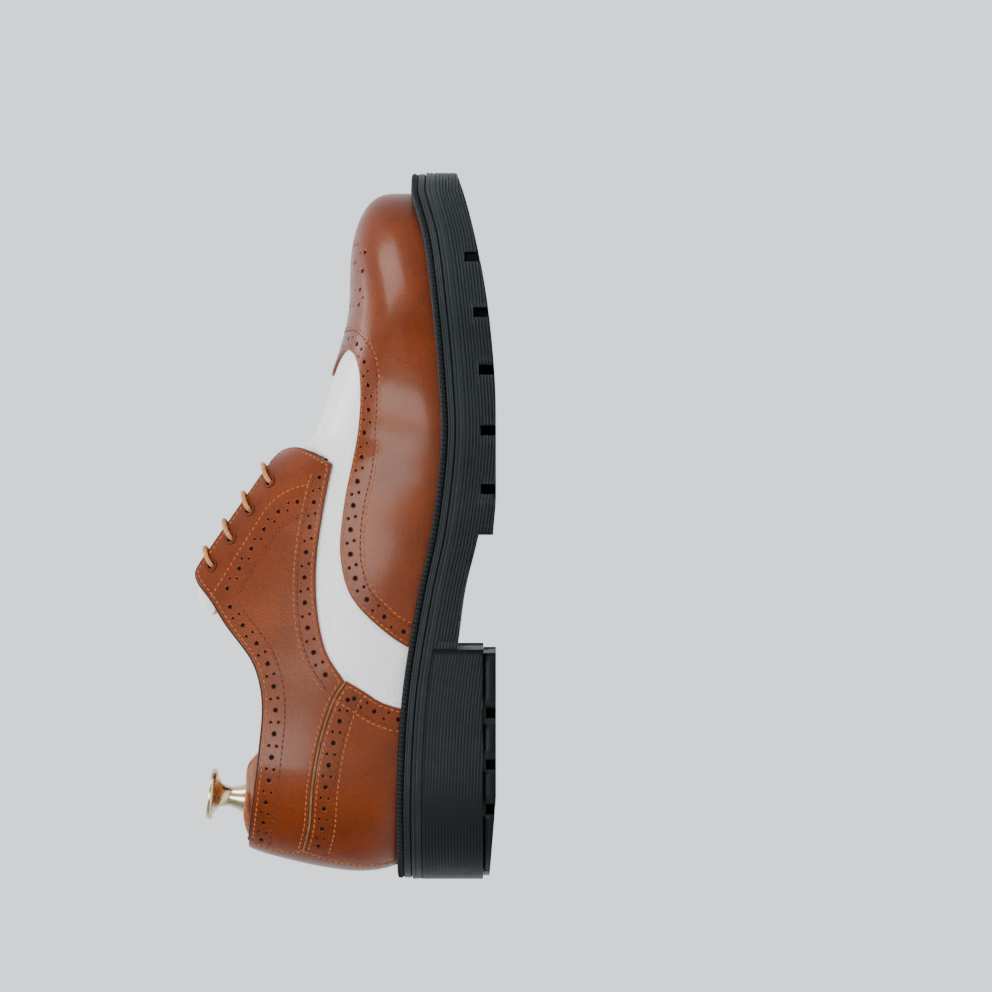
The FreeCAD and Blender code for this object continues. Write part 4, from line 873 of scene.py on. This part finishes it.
def build_counter(side, word):
    piping = 1.2
    top = on_side(side, [(x, z - piping) for x, z in COUNTER_TOP], 1)
    front = down_to_seat(clipped(on_side(side, [(x, z - piping) for x, z in COUNTER_FRONT], 1)))
    corner = (STRAP_LOW[0][0], STRAP_LOW[0][1] - piping)
    strap = down_to_seat(clipped(on_side(side, [corner] + STRAP_LOW[1:], 1)))
    foot = line(front[-1], strap[-1])
    loop = joined(top, strap, foot[::-1], front[::-1])
    panel = Panel(loop, 1, 0.0, OUTER)
    for path, way in ((top, -1), (front, 1)):
        shift = way * side
        brogue(panel, beside(path, 5.0 * shift, 1), 8, 4)
        seam(panel, THREAD, beside(path, 1.5 * shift, 1))
        seam(panel, DARK_THREAD, beside(path, 8.7 * shift, 1))
        seam(panel, THREAD, beside(path, 10.2 * shift, 1))
    heap = Heap()
    panel.build(heap)
    heap.make("counter_leather_" + word, TAN, replaces=["counter_" + word], slot="tan_leather")
    pipe = Heap()
    path = on_side(side, [(x, z - piping / 2) for x, z in COUNTER_TOP], 1)
    pipe.add(*bead(path, 1, 0.1, PIPE_HALF, 0.5))
    pipe.make("piping_" + word, PIPING, replaces=["counter_piping_" + word], slot="pale_piping")
    edge_line = Heap()
    edge_line.add(*bead(beside(path, 0.6 * side, 1), 1, 0.45, 0.3, 0.4))
    edge_line.add(*bead(beside(path, -0.6 * side, 1), 1, 0.45, 0.3, 0.4))
    edge_line.make("counter_edge_" + word, DARK_EDGE, slot="tan_leather")


def build_backstrap():
    heap, pipes = Heap(), Heap()
    for side in (LATERAL, MEDIAL):
        low = down_to_seat(clipped(on_side(side, STRAP_LOW, 1)))
        high = on_side(side, STRAP_HIGH, 1)
        top = on_side(side, [(-134.2, 105.5), (-137.9, 106.3)], 1)
        top = joined(top, line(top[-1], (0, top[-1][1])))
        loop = joined(low[::-1], high, top, line((0, top[-1][1]), (0, low[-1][1])),
                      line((0, low[-1][1]), low[-1]))
        panel = Panel(loop, 1, 0.0, OUTER)
        inset = beside(joined(low[::-1], high), 1.4 * -side, 1)
        seam(panel, THREAD, inset)
        panel.build(heap)
        pipes.add(*bead(joined(low[::-1], high), 1, 0.15, PIPE_HALF, 0.4))
    heap.make("backstrap_leather", BAND_TAN, replaces=["backstrap"], slot="tan_leather")
    pipes.make("backstrap_piping", PIPING, slot="pale_piping")


def build_tongue():
    edge = on_side(LATERAL, TONGUE_EDGE)
    loop = joined(edge, mirrored(edge)[::-1])
    panel = Panel(loop, 0, TONGUE_TOP, TONGUE_FLOOR - TONGUE_TOP)
    heap = Heap()
    panel.build(heap, 3.0)
    heap.make("tongue_leather", WHITE, replaces=["tongue"], slot="white_leather")


def build_linings():
    """The linings' inner faces, with their top edge under the collar."""
    front = over_ridge(on_side(LATERAL, [(23, 108), (20, 101), (-12, 20)]))
    toe = line((S_SPAN, -BELOW), (S_SPAN, BELOW))
    loop = joined(line((front[0][0], -BELOW), (S_SPAN, -BELOW)), toe,
                  line((S_SPAN, BELOW), (front[-1][0], BELOW)), front[::-1])
    heap = Heap()
    Panel(loop, 0, LINING_TOP, LINING_FLOOR - LINING_TOP).build(heap, 4.0)
    heap.make("vamp_lining_leather", LINING, replaces=["vamp_lining"], slot="lining_leather")
    heap = Heap()
    for side in (LATERAL, MEDIAL):
        top = on_side(side, [(20.4, 101.5), TOP_LINE[0]], 1)
        collar = on_side(side, [(x, z - 0.4) for x, z in TOP_LINE], 1)
        front = down_to_seat(clipped(on_side(side, [(20.4, 101.5), (-12.6, 20)], 1)))
        back = line((0, collar[-1][1]), (0, math.copysign(BELOW, side)))
        loop = joined(top, collar, back, line(back[-1], front[-1]), front[::-1])
        Panel(loop, 1, LINING_TOP, LINING_FLOOR - LINING_TOP).build(heap, 4.0)
    heap.make("quarter_lining_leather", LINING, replaces=["quarter_lining"], slot="lining_leather")


# ---- lace -------------------------------------------------------------------------------------------

LACE_LIFT, LACE_UNDER = 1.9, LINING_FLOOR + 1.25
LACE_DIAMETER = 2.0
LACE_SLANT, LACE_PROUD = 4.0, 1.2
TAIL_POINTS = ((6.0, 0.5), (12.0, 2.0))
LACE_EDGE = ((28.1, 96.1), (-15.4, 126.4))


def quarter_spot(side, place, height):
    chart = locate(side, [(place, height)], 1)
    return upper(chart, 1)[0], normals_at(chart, 1)[0]


def edge_crossing(side, place, height):
    """Where a lace bar goes over the facing's edge, a little nearer the toe than its eyelet."""
    start, end = np.array(LACE_EDGE[0]), np.array(LACE_EDGE[1])
    run = unit(end - start)
    x, z = start + run * (np.dot(np.array([place, height]) - start, run) - LACE_SLANT)
    spot, _ = quarter_spot(side, x, z)
    away = unit(np.array([end[1] - start[1], 0, start[0] - end[0]]))
    return spot + away * (LACE_DIAMETER / 2 + LACE_PROUD)


def lace_route():
    points = []

    def tail(side, place, height):
        made = []
        for fall, sink in TAIL_POINTS:
            spot, out = quarter_spot(side, place - 0.9 * fall, height - fall)
            made.append(spot - out * (LACE_UNDER + sink))
        return made

    for number, (place, height) in enumerate(EYELET_PLACES):
        order = (LATERAL, MEDIAL) if number % 2 == 0 else (MEDIAL, LATERAL)
        ends = {}
        for side in order:
            spot, out = quarter_spot(side, place, height)
            ends[side] = [spot - out * LACE_UNDER, spot + out * LACE_LIFT, edge_crossing(side, place, height)]
        points += ends[order[0]] + ends[order[1]][::-1]
    last = LATERAL if len(EYELET_PLACES) % 2 == 0 else MEDIAL
    return tail(LATERAL, *EYELET_PLACES[0])[::-1] + points + tail(last, *EYELET_PLACES[-1])


def smooth_line(points, resolution=10):
    """A NURBS line guided by the points, as an even run of points in millimetres."""
    curve = bpy.data.curves.new("route", "CURVE")
    curve.dimensions = "3D"
    spline = curve.splines.new("NURBS")
    spline.points.add(len(points) - 1)
    for knot, point in zip(spline.points, points):
        knot.co = (*point, 1.0)
    spline.order_u = 3
    spline.use_endpoint_u = True
    spline.resolution_u = resolution
    item = bpy.data.objects.new("route", curve)
    bpy.context.scene.collection.objects.link(item)
    bpy.context.view_layer.update()
    mesh = item.evaluated_get(bpy.context.evaluated_depsgraph_get()).to_mesh()
    made = np.array([tuple(v.co) for v in mesh.vertices])
    bpy.data.objects.remove(item)
    run = np.concatenate([[0], np.cumsum(np.linalg.norm(np.diff(made, axis=0), axis=1))])
    places = np.linspace(0, run[-1], int(run[-1] / 0.28))
    return np.stack([np.interp(places, run, made[:, k]) for k in range(3)], -1), run[-1]


def carried_frames(path):
    """Section directions that turn as little as they can along a path."""
    tangents = unit(np.gradient(path, axis=0))
    first = np.zeros_like(path)
    start = np.cross(tangents[0], [0.3, 0.2, 1.0])
    first[0] = start / np.linalg.norm(start)
    for i in range(1, len(path)):
        carried = first[i - 1] - tangents[i] * (first[i - 1] @ tangents[i])
        first[i] = carried / np.linalg.norm(carried)
    return first, np.cross(tangents, first)


def build_lace():
    path, length = smooth_line(lace_route())
    first, second = carried_frames(path)
    count = 20
    turns = np.arange(count) * 2 * np.pi / count
    along = np.arange(len(path))[:, None] * 0.28
    weave = np.sin(turns * 5 + along * 5.2) * np.sin(turns * 5 - along * 5.2)
    radius = LACE_DIAMETER / 2 - 0.04 + 0.09 * weave
    rings = (path[:, None] + first[:, None] * (np.cos(turns) * radius)[..., None]
             + second[:, None] * (np.sin(turns) * radius)[..., None])
    faces = [tuple(f) for f in grid_faces(len(path), count, closed=True)]
    faces += [tuple(range(count)), tuple(range((len(path) - 1) * count, len(path) * count))[::-1]]
    make("lace_cord", rings.reshape(-1, 3), faces, LACE, replaces=["lace"], slot="lace_cord", sharp=80)
    print("lace length in millimetres", round(length, 1))


# ---- sole -------------------------------------------------------------------------------------------

SOLE_END = 152.0
WELT_FLOOR, MIDSOLE_FLOOR = 5.9, 10.4
HEEL_BREAST = -52.0
NOTCHES = [112.8, 89.1, 65.0, 39.8, 15.4]
HEEL_NOTCHES = [-78.8, -100.5, -119.4]
RIB_PITCH = 1.35
NOTCH_HEIGHT = 6.5


def sole_edge(side, place, inset=0.0):
    """Plan points of the sole's outline at places along it, moved in by an inset."""
    def at(p):
        margin = smooth(LATERAL_MARGIN if side < 0 else MEDIAL_MARGIN, p)
        hand = np.full_like(p, side)
        heel = fall_off((-95 - p) / (SOLE_END - 95), 2.2)
        width = width_of(hand, p, margin, -SOLE_END, SOLE_END)
        return np.stack([p, smooth(CENTRE_LINE, p) * heel + side * width], -1)

    share = np.clip(np.arccos(np.clip(-place / SOLE_END, -1, 1)) / np.pi, 0.004, 0.996)
    near = at(-SOLE_END * np.cos(np.pi * np.clip(share - 0.003, 0, 1)))
    far = at(-SOLE_END * np.cos(np.pi * np.clip(share + 0.003, 0, 1)))
    tangent = unit(far - near)
    normal = np.stack([tangent[:, 1], -tangent[:, 0]], -1) * -side
    ends = np.abs(place) >= SOLE_END - 1e-6
    normal[ends] = np.stack([np.sign(place[ends]), np.zeros(ends.sum())], -1)
    return at(place) - normal * np.reshape(inset, (-1, 1))


def tread_floor(place):
    return np.where(place < -3.8, smooth(SHANK_TREAD, place), smooth(TREAD_LINE, place))


def stations(start, stop, count=150, extra=()):
    share = np.linspace(0, 1, count)
    places = -SOLE_END * np.cos(np.pi * share)
    places = places[(places > start + 0.3) & (places < stop - 0.3)]
    return np.sort(np.concatenate([places, [start, stop], extra]))


def loft(heap, places, levels, insets, floor):
    """A closed solid between the sole's two edges. levels are depths under the feather line, each with an
    inset, and no wall goes below floor(place)."""
    feather = smooth(FEATHER_LINE, places)
    low = floor(places)
    rows = []
    for side in (LATERAL, MEDIAL):
        wall = []
        for level, inset in zip(levels, insets):
            z = np.maximum(feather - level, low)
            held = np.where(feather - level < low, 0.35, inset)
            plan = sole_edge(side, places, held)
            wall.append(np.stack([plan[:, 0], plan[:, 1], z], -1))
        rows.append(wall)
    lateral, medial = rows
    across = [0.2, 0.4, 0.6, 0.8]
    under = [lateral[-1] + (medial[-1] - lateral[-1]) * share for share in across]
    over = [medial[0] + (lateral[0] - medial[0]) * share for share in across]
    ring = np.stack(lateral + under + medial[::-1] + over, 1)
    ring[..., 2] = np.maximum(ring[..., 2], 0.0)
    count = ring.shape[1]
    faces = [tuple(f) for f in grid_faces(len(places), count, closed=True)]
    faces += [tuple(range(count)), tuple(range((len(places) - 1) * count, len(places) * count))[::-1]]
    heap.add(ring.reshape(-1, 3), faces)


def ribs(top, bottom, groove=0.38):
    """Levels and insets of a ribbed wall."""
    levels, insets = [top, top + 0.35], [0.55, 0.0]
    place = top + 0.5
    while place + RIB_PITCH < bottom:
        levels += [place, place + 0.62 * RIB_PITCH, place + 0.74 * RIB_PITCH, place + 0.88 * RIB_PITCH]
        insets += [0.0, 0.0, groove, groove]
        place += RIB_PITCH
    return levels + [bottom], insets + [0.0]


def weld(item):
    modifier = item.modifiers.new("weld", "WELD")
    modifier.merge_threshold = 0.02 * MM
    return item


BOX_FACES = [(0, 1, 3, 2), (4, 6, 7, 5), (0, 4, 5, 1), (2, 3, 7, 6), (0, 2, 6, 4), (1, 5, 7, 3)]


def notch_cutter(name, places, top_of):
    """Boxes that cut the blind notches in both edges of a tread."""
    heap = Heap()
    for place in places:
        for side in (LATERAL, MEDIAL):
            edge = sole_edge(side, np.array([place]))[0]
            y0, y1 = sorted((edge[1] + side * 20, edge[1] - side * 13))
            x0, x1, z1 = place - 2.1, place + 2.1, float(top_of(place))
            corners = [(x, y, z) for x in (x0, x1) for y in (y0, y1) for z in (z1 - 30, z1)]
            heap.add(corners, BOX_FACES)
    mesh = bpy.data.meshes.new(name)
    mesh.from_pydata((np.concatenate(heap.points) * MM).tolist(), [], heap.faces)
    item = bpy.data.objects.new(name, mesh)
    bpy.context.scene.collection.objects.link(item)
    return item


def cut_with(item, cutter):
    """Cuts a piece with another object, which is then removed."""
    modifier = item.modifiers.new("cut", "BOOLEAN")
    modifier.object = cutter
    modifier.solver = "EXACT"
    bpy.context.view_layer.update()
    made = item.evaluated_get(bpy.context.evaluated_depsgraph_get())
    mesh = bpy.data.meshes.new_from_object(made)
    item.modifiers.clear()
    item.data = mesh
    mesh.polygons.foreach_set("use_smooth", [True] * len(mesh.polygons))
    mesh.set_sharp_from_angle(angle=math.radians(30))
    bpy.data.objects.remove(cutter)


def build_sole():
    heap = Heap()
    levels, insets = ribs(WELT_FLOOR + 0.3, MIDSOLE_FLOOR)
    loft(heap, stations(-SOLE_END, SOLE_END), [WELT_FLOOR, WELT_FLOOR + 0.3] + levels, [1.3, 1.3] + insets,
         lambda x: np.full_like(x, -99.0))
    weld(heap.make("midsole_ribbed", RUBBER, replaces=["midsole"], slot="rubber", sharp=30))
    heap = Heap()
    levels, insets = ribs(MIDSOLE_FLOOR, 34.0)
    loft(heap, stations(HEEL_BREAST + 0.12, SOLE_END, extra=[-3.81, -3.79]), levels, insets, tread_floor)
    outsole = weld(heap.make("outsole_ribbed", RUBBER, replaces=["outsole"], slot="rubber", sharp=30))
    cut_with(outsole, notch_cutter("notches", NOTCHES, lambda p: smooth(TREAD_LINE, p) + NOTCH_HEIGHT))
    heap = Heap()
    levels, insets = ribs(MIDSOLE_FLOOR, 42.0, 0.1)
    loft(heap, stations(-SOLE_END, HEEL_BREAST), levels, insets, lambda x: np.full_like(x, 5.5))
    weld(heap.make("heel_block_ribbed", HEEL_RUBBER, replaces=["heel_block"], slot="rubber", sharp=30))
    heap = Heap()
    places = stations(-SOLE_END, HEEL_BREAST - 1.6)
    build_top_piece(heap, places)
    piece = weld(heap.make("heel_top_piece_rubber", RAND_RUBBER, replaces=["heel_top_piece"], slot="rubber",
                           sharp=30))
    cut_with(piece, notch_cutter("heel_notches", HEEL_NOTCHES, lambda p: NOTCH_HEIGHT - 2.2))


def build_top_piece(heap, places):
    """The heel's top piece, set in from the block, its rear corner bevelled."""
    low = np.interp(places, [-152, -115, -50], [2.8, 0.0, 0.0])
    rows = []
    for side in (LATERAL, MEDIAL):
        plan = sole_edge(side, places, 1.6)
        rows.append([np.stack([plan[:, 0], plan[:, 1], z], -1) for z in (np.full_like(low, 5.4), low)])
    ring = np.stack([rows[0][0], rows[0][1], rows[1][1], rows[1][0]], 1)
    faces = [tuple(f) for f in grid_faces(len(places), 4, closed=True)]
    faces += [(0, 1, 2, 3), tuple(range((len(places) - 1) * 4, len(places) * 4))[::-1]]
    heap.add(ring.reshape(-1, 3), faces)


def edge_run(inset, pitch):
    """Places all round the outline, about pitch apart along it, as (side, place) pairs."""
    made = {}
    for side in (LATERAL, MEDIAL):
        fine = -SOLE_END * np.cos(np.pi * np.linspace(0, 1, 1200))
        plan = sole_edge(side, fine, inset)
        run = np.concatenate([[0], np.cumsum(np.linalg.norm(np.diff(plan, axis=0), axis=1))])
        count = int(run[-1] / pitch)
        made[side] = np.interp(np.linspace(0, run[-1], count + 1), run, fine)
    return made


def strip(heap, side, places, profile, teeth=None):
    """A band round one side of the outline. profile gives (level, inset) round its section."""
    feather = smooth(FEATHER_LINE, places)
    columns = []
    for level, inset in profile:
        held = np.full_like(places, inset)
        if teeth is not None and inset < 2.0:
            held = held - teeth * (1.0 if level > 0.4 else 0.5)
        plan = sole_edge(side, places, held)
        columns.append(np.stack([plan[:, 0], plan[:, 1], feather - level], -1))
    ring = np.stack(columns, 1)
    heap.add(ring.reshape(-1, 3), grid_faces(len(places), len(profile), closed=True))


def build_welt():
    heap = Heap()
    run = edge_run(0.6, 2.0)
    groove = 0.3
    profile = [(2.95, 9.0), (2.95, 1.0), (3.15, 0.6), (3.75, 0.55), (3.9, 0.55 + groove),
               (4.1, 0.55 + groove), (4.25, 0.55), (4.85, 0.55), (5.0, 0.55 + groove), (5.15, 0.55),
               (5.6, 0.6), (5.88, 1.0), (5.88, 9.0)]
    for side in (LATERAL, MEDIAL):
        strip(heap, side, run[side], profile)
    heap.make("welt_band", RUBBER, replaces=["welt"], slot="rubber", sharp=35)
    heap = Heap()
    fine = edge_run(1.5, 0.5)
    for side in (LATERAL, MEDIAL):
        places = fine[side]
        phase = np.arange(len(places)) % 4
        teeth = np.array([0.0, 0.75, 0.95, 0.35])[phase]
        profile = [(0.15, 7.0), (0.1, 2.6), (0.0, 1.9), (0.5, 1.55), (1.3, 1.45), (1.9, 1.5), (2.3, 1.95),
                   (2.88, 1.95), (2.88, 9.0)]
        strip(heap, side, places, profile, teeth)
    heap.make("storm_rand_teeth", RAND_RUBBER, replaces=["storm_rand"], slot="rubber", sharp=35)


# ---- shoe tree --------------------------------------------------------------------------------------

def lathe(heap, profile, place, tilt, count=96):
    """A turned shape: (radius, height) pairs about an upright axis tilted towards the toe."""
    turns = np.arange(count) * 2 * np.pi / count
    p = np.array(profile, float)
    rings = np.stack([p[:, :1] * np.cos(turns), p[:, :1] * np.sin(turns), p[:, 1:] * np.ones(count)], -1)
    points = rings.reshape(-1, 3)
    c, s = math.cos(math.radians(tilt)), math.sin(math.radians(tilt))
    turned = points @ np.array([[c, 0, s], [0, 1, 0], [-s, 0, c]]).T
    heap.add(turned + place, grid_faces(len(p), count, closed=True))


def build_knob():
    tall, rim, cap, neck, foot = 17.0, 2.9, 10.9, 4.2, 6.2
    under = tall - rim
    flare = flow([(foot, 1.2), (neck + 0.5, 0.3 * tall), (neck, 0.45 * tall), (neck + 0.9, 0.66 * tall),
                  (neck + 2.9, 0.76 * tall), (cap - 0.6, under)], 0.4)
    lip = [(cap - 0.2, under + 0.3), (cap, under + 1.0), (cap, under + 1.7), (cap - 0.25, under + 2.2),
           (cap - 0.9, tall - 0.5)]
    crown = [(r, tall - 0.5 * (r / (cap - 0.9)) ** 2) for r in np.linspace(cap - 1.2, 0.01, 14)]
    profile = [(2.05, 0.0), (foot, 0.0), (foot + 0.1, 0.5)] + [tuple(p) for p in flare] + lip + crown
    heap = Heap()
    lathe(heap, profile, np.array([-117.6, 0, 106.9]), 7.5)
    heap.make("knob_turned", BRASS, body="tree_heel", replaces=["tree_knob"], slot="knob_metal", sharp=60)


def soften(node, voxel, rounds):
    """A copy of a CAD node with its corners rounded over, riding where the node does."""
    source = frame["nodes"][node]
    item = bpy.data.objects.new(node + "_rounded", source.data.copy())
    bpy.context.scene.collection.objects.link(item)
    remesh = item.modifiers.new("remesh", "REMESH")
    remesh.mode = "VOXEL"
    remesh.voxel_size = voxel
    relax = item.modifiers.new("relax", "SMOOTH")
    relax.factor, relax.iterations = 0.5, rounds
    bpy.context.view_layer.update()
    made = bpy.data.meshes.new_from_object(item.evaluated_get(bpy.context.evaluated_depsgraph_get()))
    item.modifiers.clear()
    item.data = made
    made.polygons.foreach_set("use_smooth", [True] * len(made.polygons))
    made.materials.clear()
    made.materials.append(CEDAR)
    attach(item, source["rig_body"])
    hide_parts(node)
    return item


# ---- the rest of the CAD's nodes --------------------------------------------------------------------

PLAIN = {
    "toe_puff": BOARD, "heel_stiffener": BOARD, "interlining_lateral": BOARD, "interlining_medial": BOARD,
    "eyelets": EYELET, "aglets": EYELET, "steel_shank": STEEL, "cork_filler": CORK, "insole_board": BOARD,
    "sock_lining": INSIDE, "tree_guide_pins": STEEL, "tree_side_springs": STEEL, "tree_outer_tube": BRASS,
    "tree_main_spring": STEEL, "tree_tube_plug": CEDAR, "tree_ferrule": BRASS, "tree_inner_tube": STEEL,
    "tree_tube_pin": STEEL, "knob_screw": STEEL, "heel_nails": STEEL,
}


def paint_nodes():
    for name, material in PLAIN.items():
        node = frame["nodes"][name]
        node.data.materials.clear()
        node.data.materials.append(material)
        node.data.polygons.foreach_set("material_index", [0] * len(node.data.polygons))


def squash_spring(node):
    """Gives a spring node a mesh of its own; the spring keeps its length."""
    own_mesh(frame["nodes"][node])


# ---- setting ----------------------------------------------------------------------------------------

def soft_light(name, place, aim, size, power):
    light = bpy.data.lights.new(name, "AREA")
    light.shape = "RECTANGLE"
    light.size, light.size_y = size
    light.energy = power
    item = bpy.data.objects.new(name, light)
    item.location = place
    item.rotation_euler = (Vector(aim) - Vector(place)).to_track_quat("-Z", "Y").to_euler()
    bpy.context.scene.collection.objects.link(item)


def build_setting():
    mesh = bpy.data.meshes.new("floor")
    half = 4.0
    corners = [(-half, -half, 0), (half, -half, 0), (half, half, 0), (-half, half, 0)]
    mesh.from_pydata(corners, [], [(0, 1, 2, 3)])
    paint = Painter("pale_floor", rgb(228, 231, 233), 0.6)
    mesh.materials.append(paint.material)
    floor = bpy.data.objects.new("floor", mesh)
    bpy.context.scene.collection.objects.link(floor)
    build_world()
    soft_light("key", (-0.15, -1.0, 0.85), (0, 0, 0.06), (0.35, 1.1), 15)
    soft_light("toe", (0.75, -0.35, 0.6), (0.05, 0, 0.05), (0.4, 0.5), 7)
    soft_light("top", (0.0, 0.35, 1.3), (0, 0, 0.05), (0.9, 0.5), 12)


def build_world():
    """A pale studio, brighter behind the shoe than in front of it."""
    world = bpy.data.worlds.new("studio")
    world.use_nodes = True
    nodes, links = world.node_tree.nodes, world.node_tree.links
    split = nodes.new("ShaderNodeSeparateXYZ")
    links.new(nodes.new("ShaderNodeTexCoord").outputs["Generated"], split.inputs["Vector"])
    ramp = nodes.new("ShaderNodeMapRange")
    ramp.interpolation_type = "SMOOTHSTEP"
    for name, value in (("From Min", -0.3), ("From Max", 0.7), ("To Min", 0.40), ("To Max", 1.72)):
        ramp.inputs[name].default_value = value
    links.new(split.outputs["Y"], ramp.inputs["Value"])
    background = nodes["Background"]
    background.inputs["Color"].default_value = (0.775, 0.83, 0.875, 1)
    links.new(ramp.outputs["Result"], background.inputs["Strength"])
    bpy.context.scene.world = world


def build_camera():
    """Level with the ground, square to the lateral side, and turned so that the toe points up."""
    data = bpy.data.cameras.new("camera")
    data.lens, data.sensor_width = 135.0, 36.0
    camera = bpy.data.objects.new("camera", data)
    bpy.context.scene.collection.objects.link(camera)
    distance = 1.6
    camera.matrix_world = Matrix(((0, 1, 0, 0.0125), (0, 0, -1, -distance), (-1, 0, 0, 0.0), (0, 0, 0, 1)))
    bpy.context.scene.camera = camera


def main():
    build_cap()
    build_vamp()
    for side, word in ((LATERAL, "lateral"), (MEDIAL, "medial")):
        build_quarter(side, word)
        build_counter(side, word)
    build_backstrap()
    build_tongue()
    build_linings()
    THREAD.make("stitching_light", STITCH, slot="tan_leather")
    DARK_THREAD.make("stitching_dark", DARK_STITCH, slot="tan_leather")
    # the perforations' discs of painted shade
    HOLE_SHADE_DISCS.make("perforation_painted_shade", HOLE_PAINTED_SHADE, slot="tan_leather")
    build_lace()
    build_sole()
    build_welt()
    build_knob()
    soften("tree_heel_block", 0.0007, 8)
    soften("tree_forepart", 0.0011, 6)
    soften("tree_side_piece", 0.0011, 6)
    paint_nodes()
    squash_spring("tree_main_spring")
    squash_spring("tree_side_springs")
    build_setting()
    build_camera()


main()
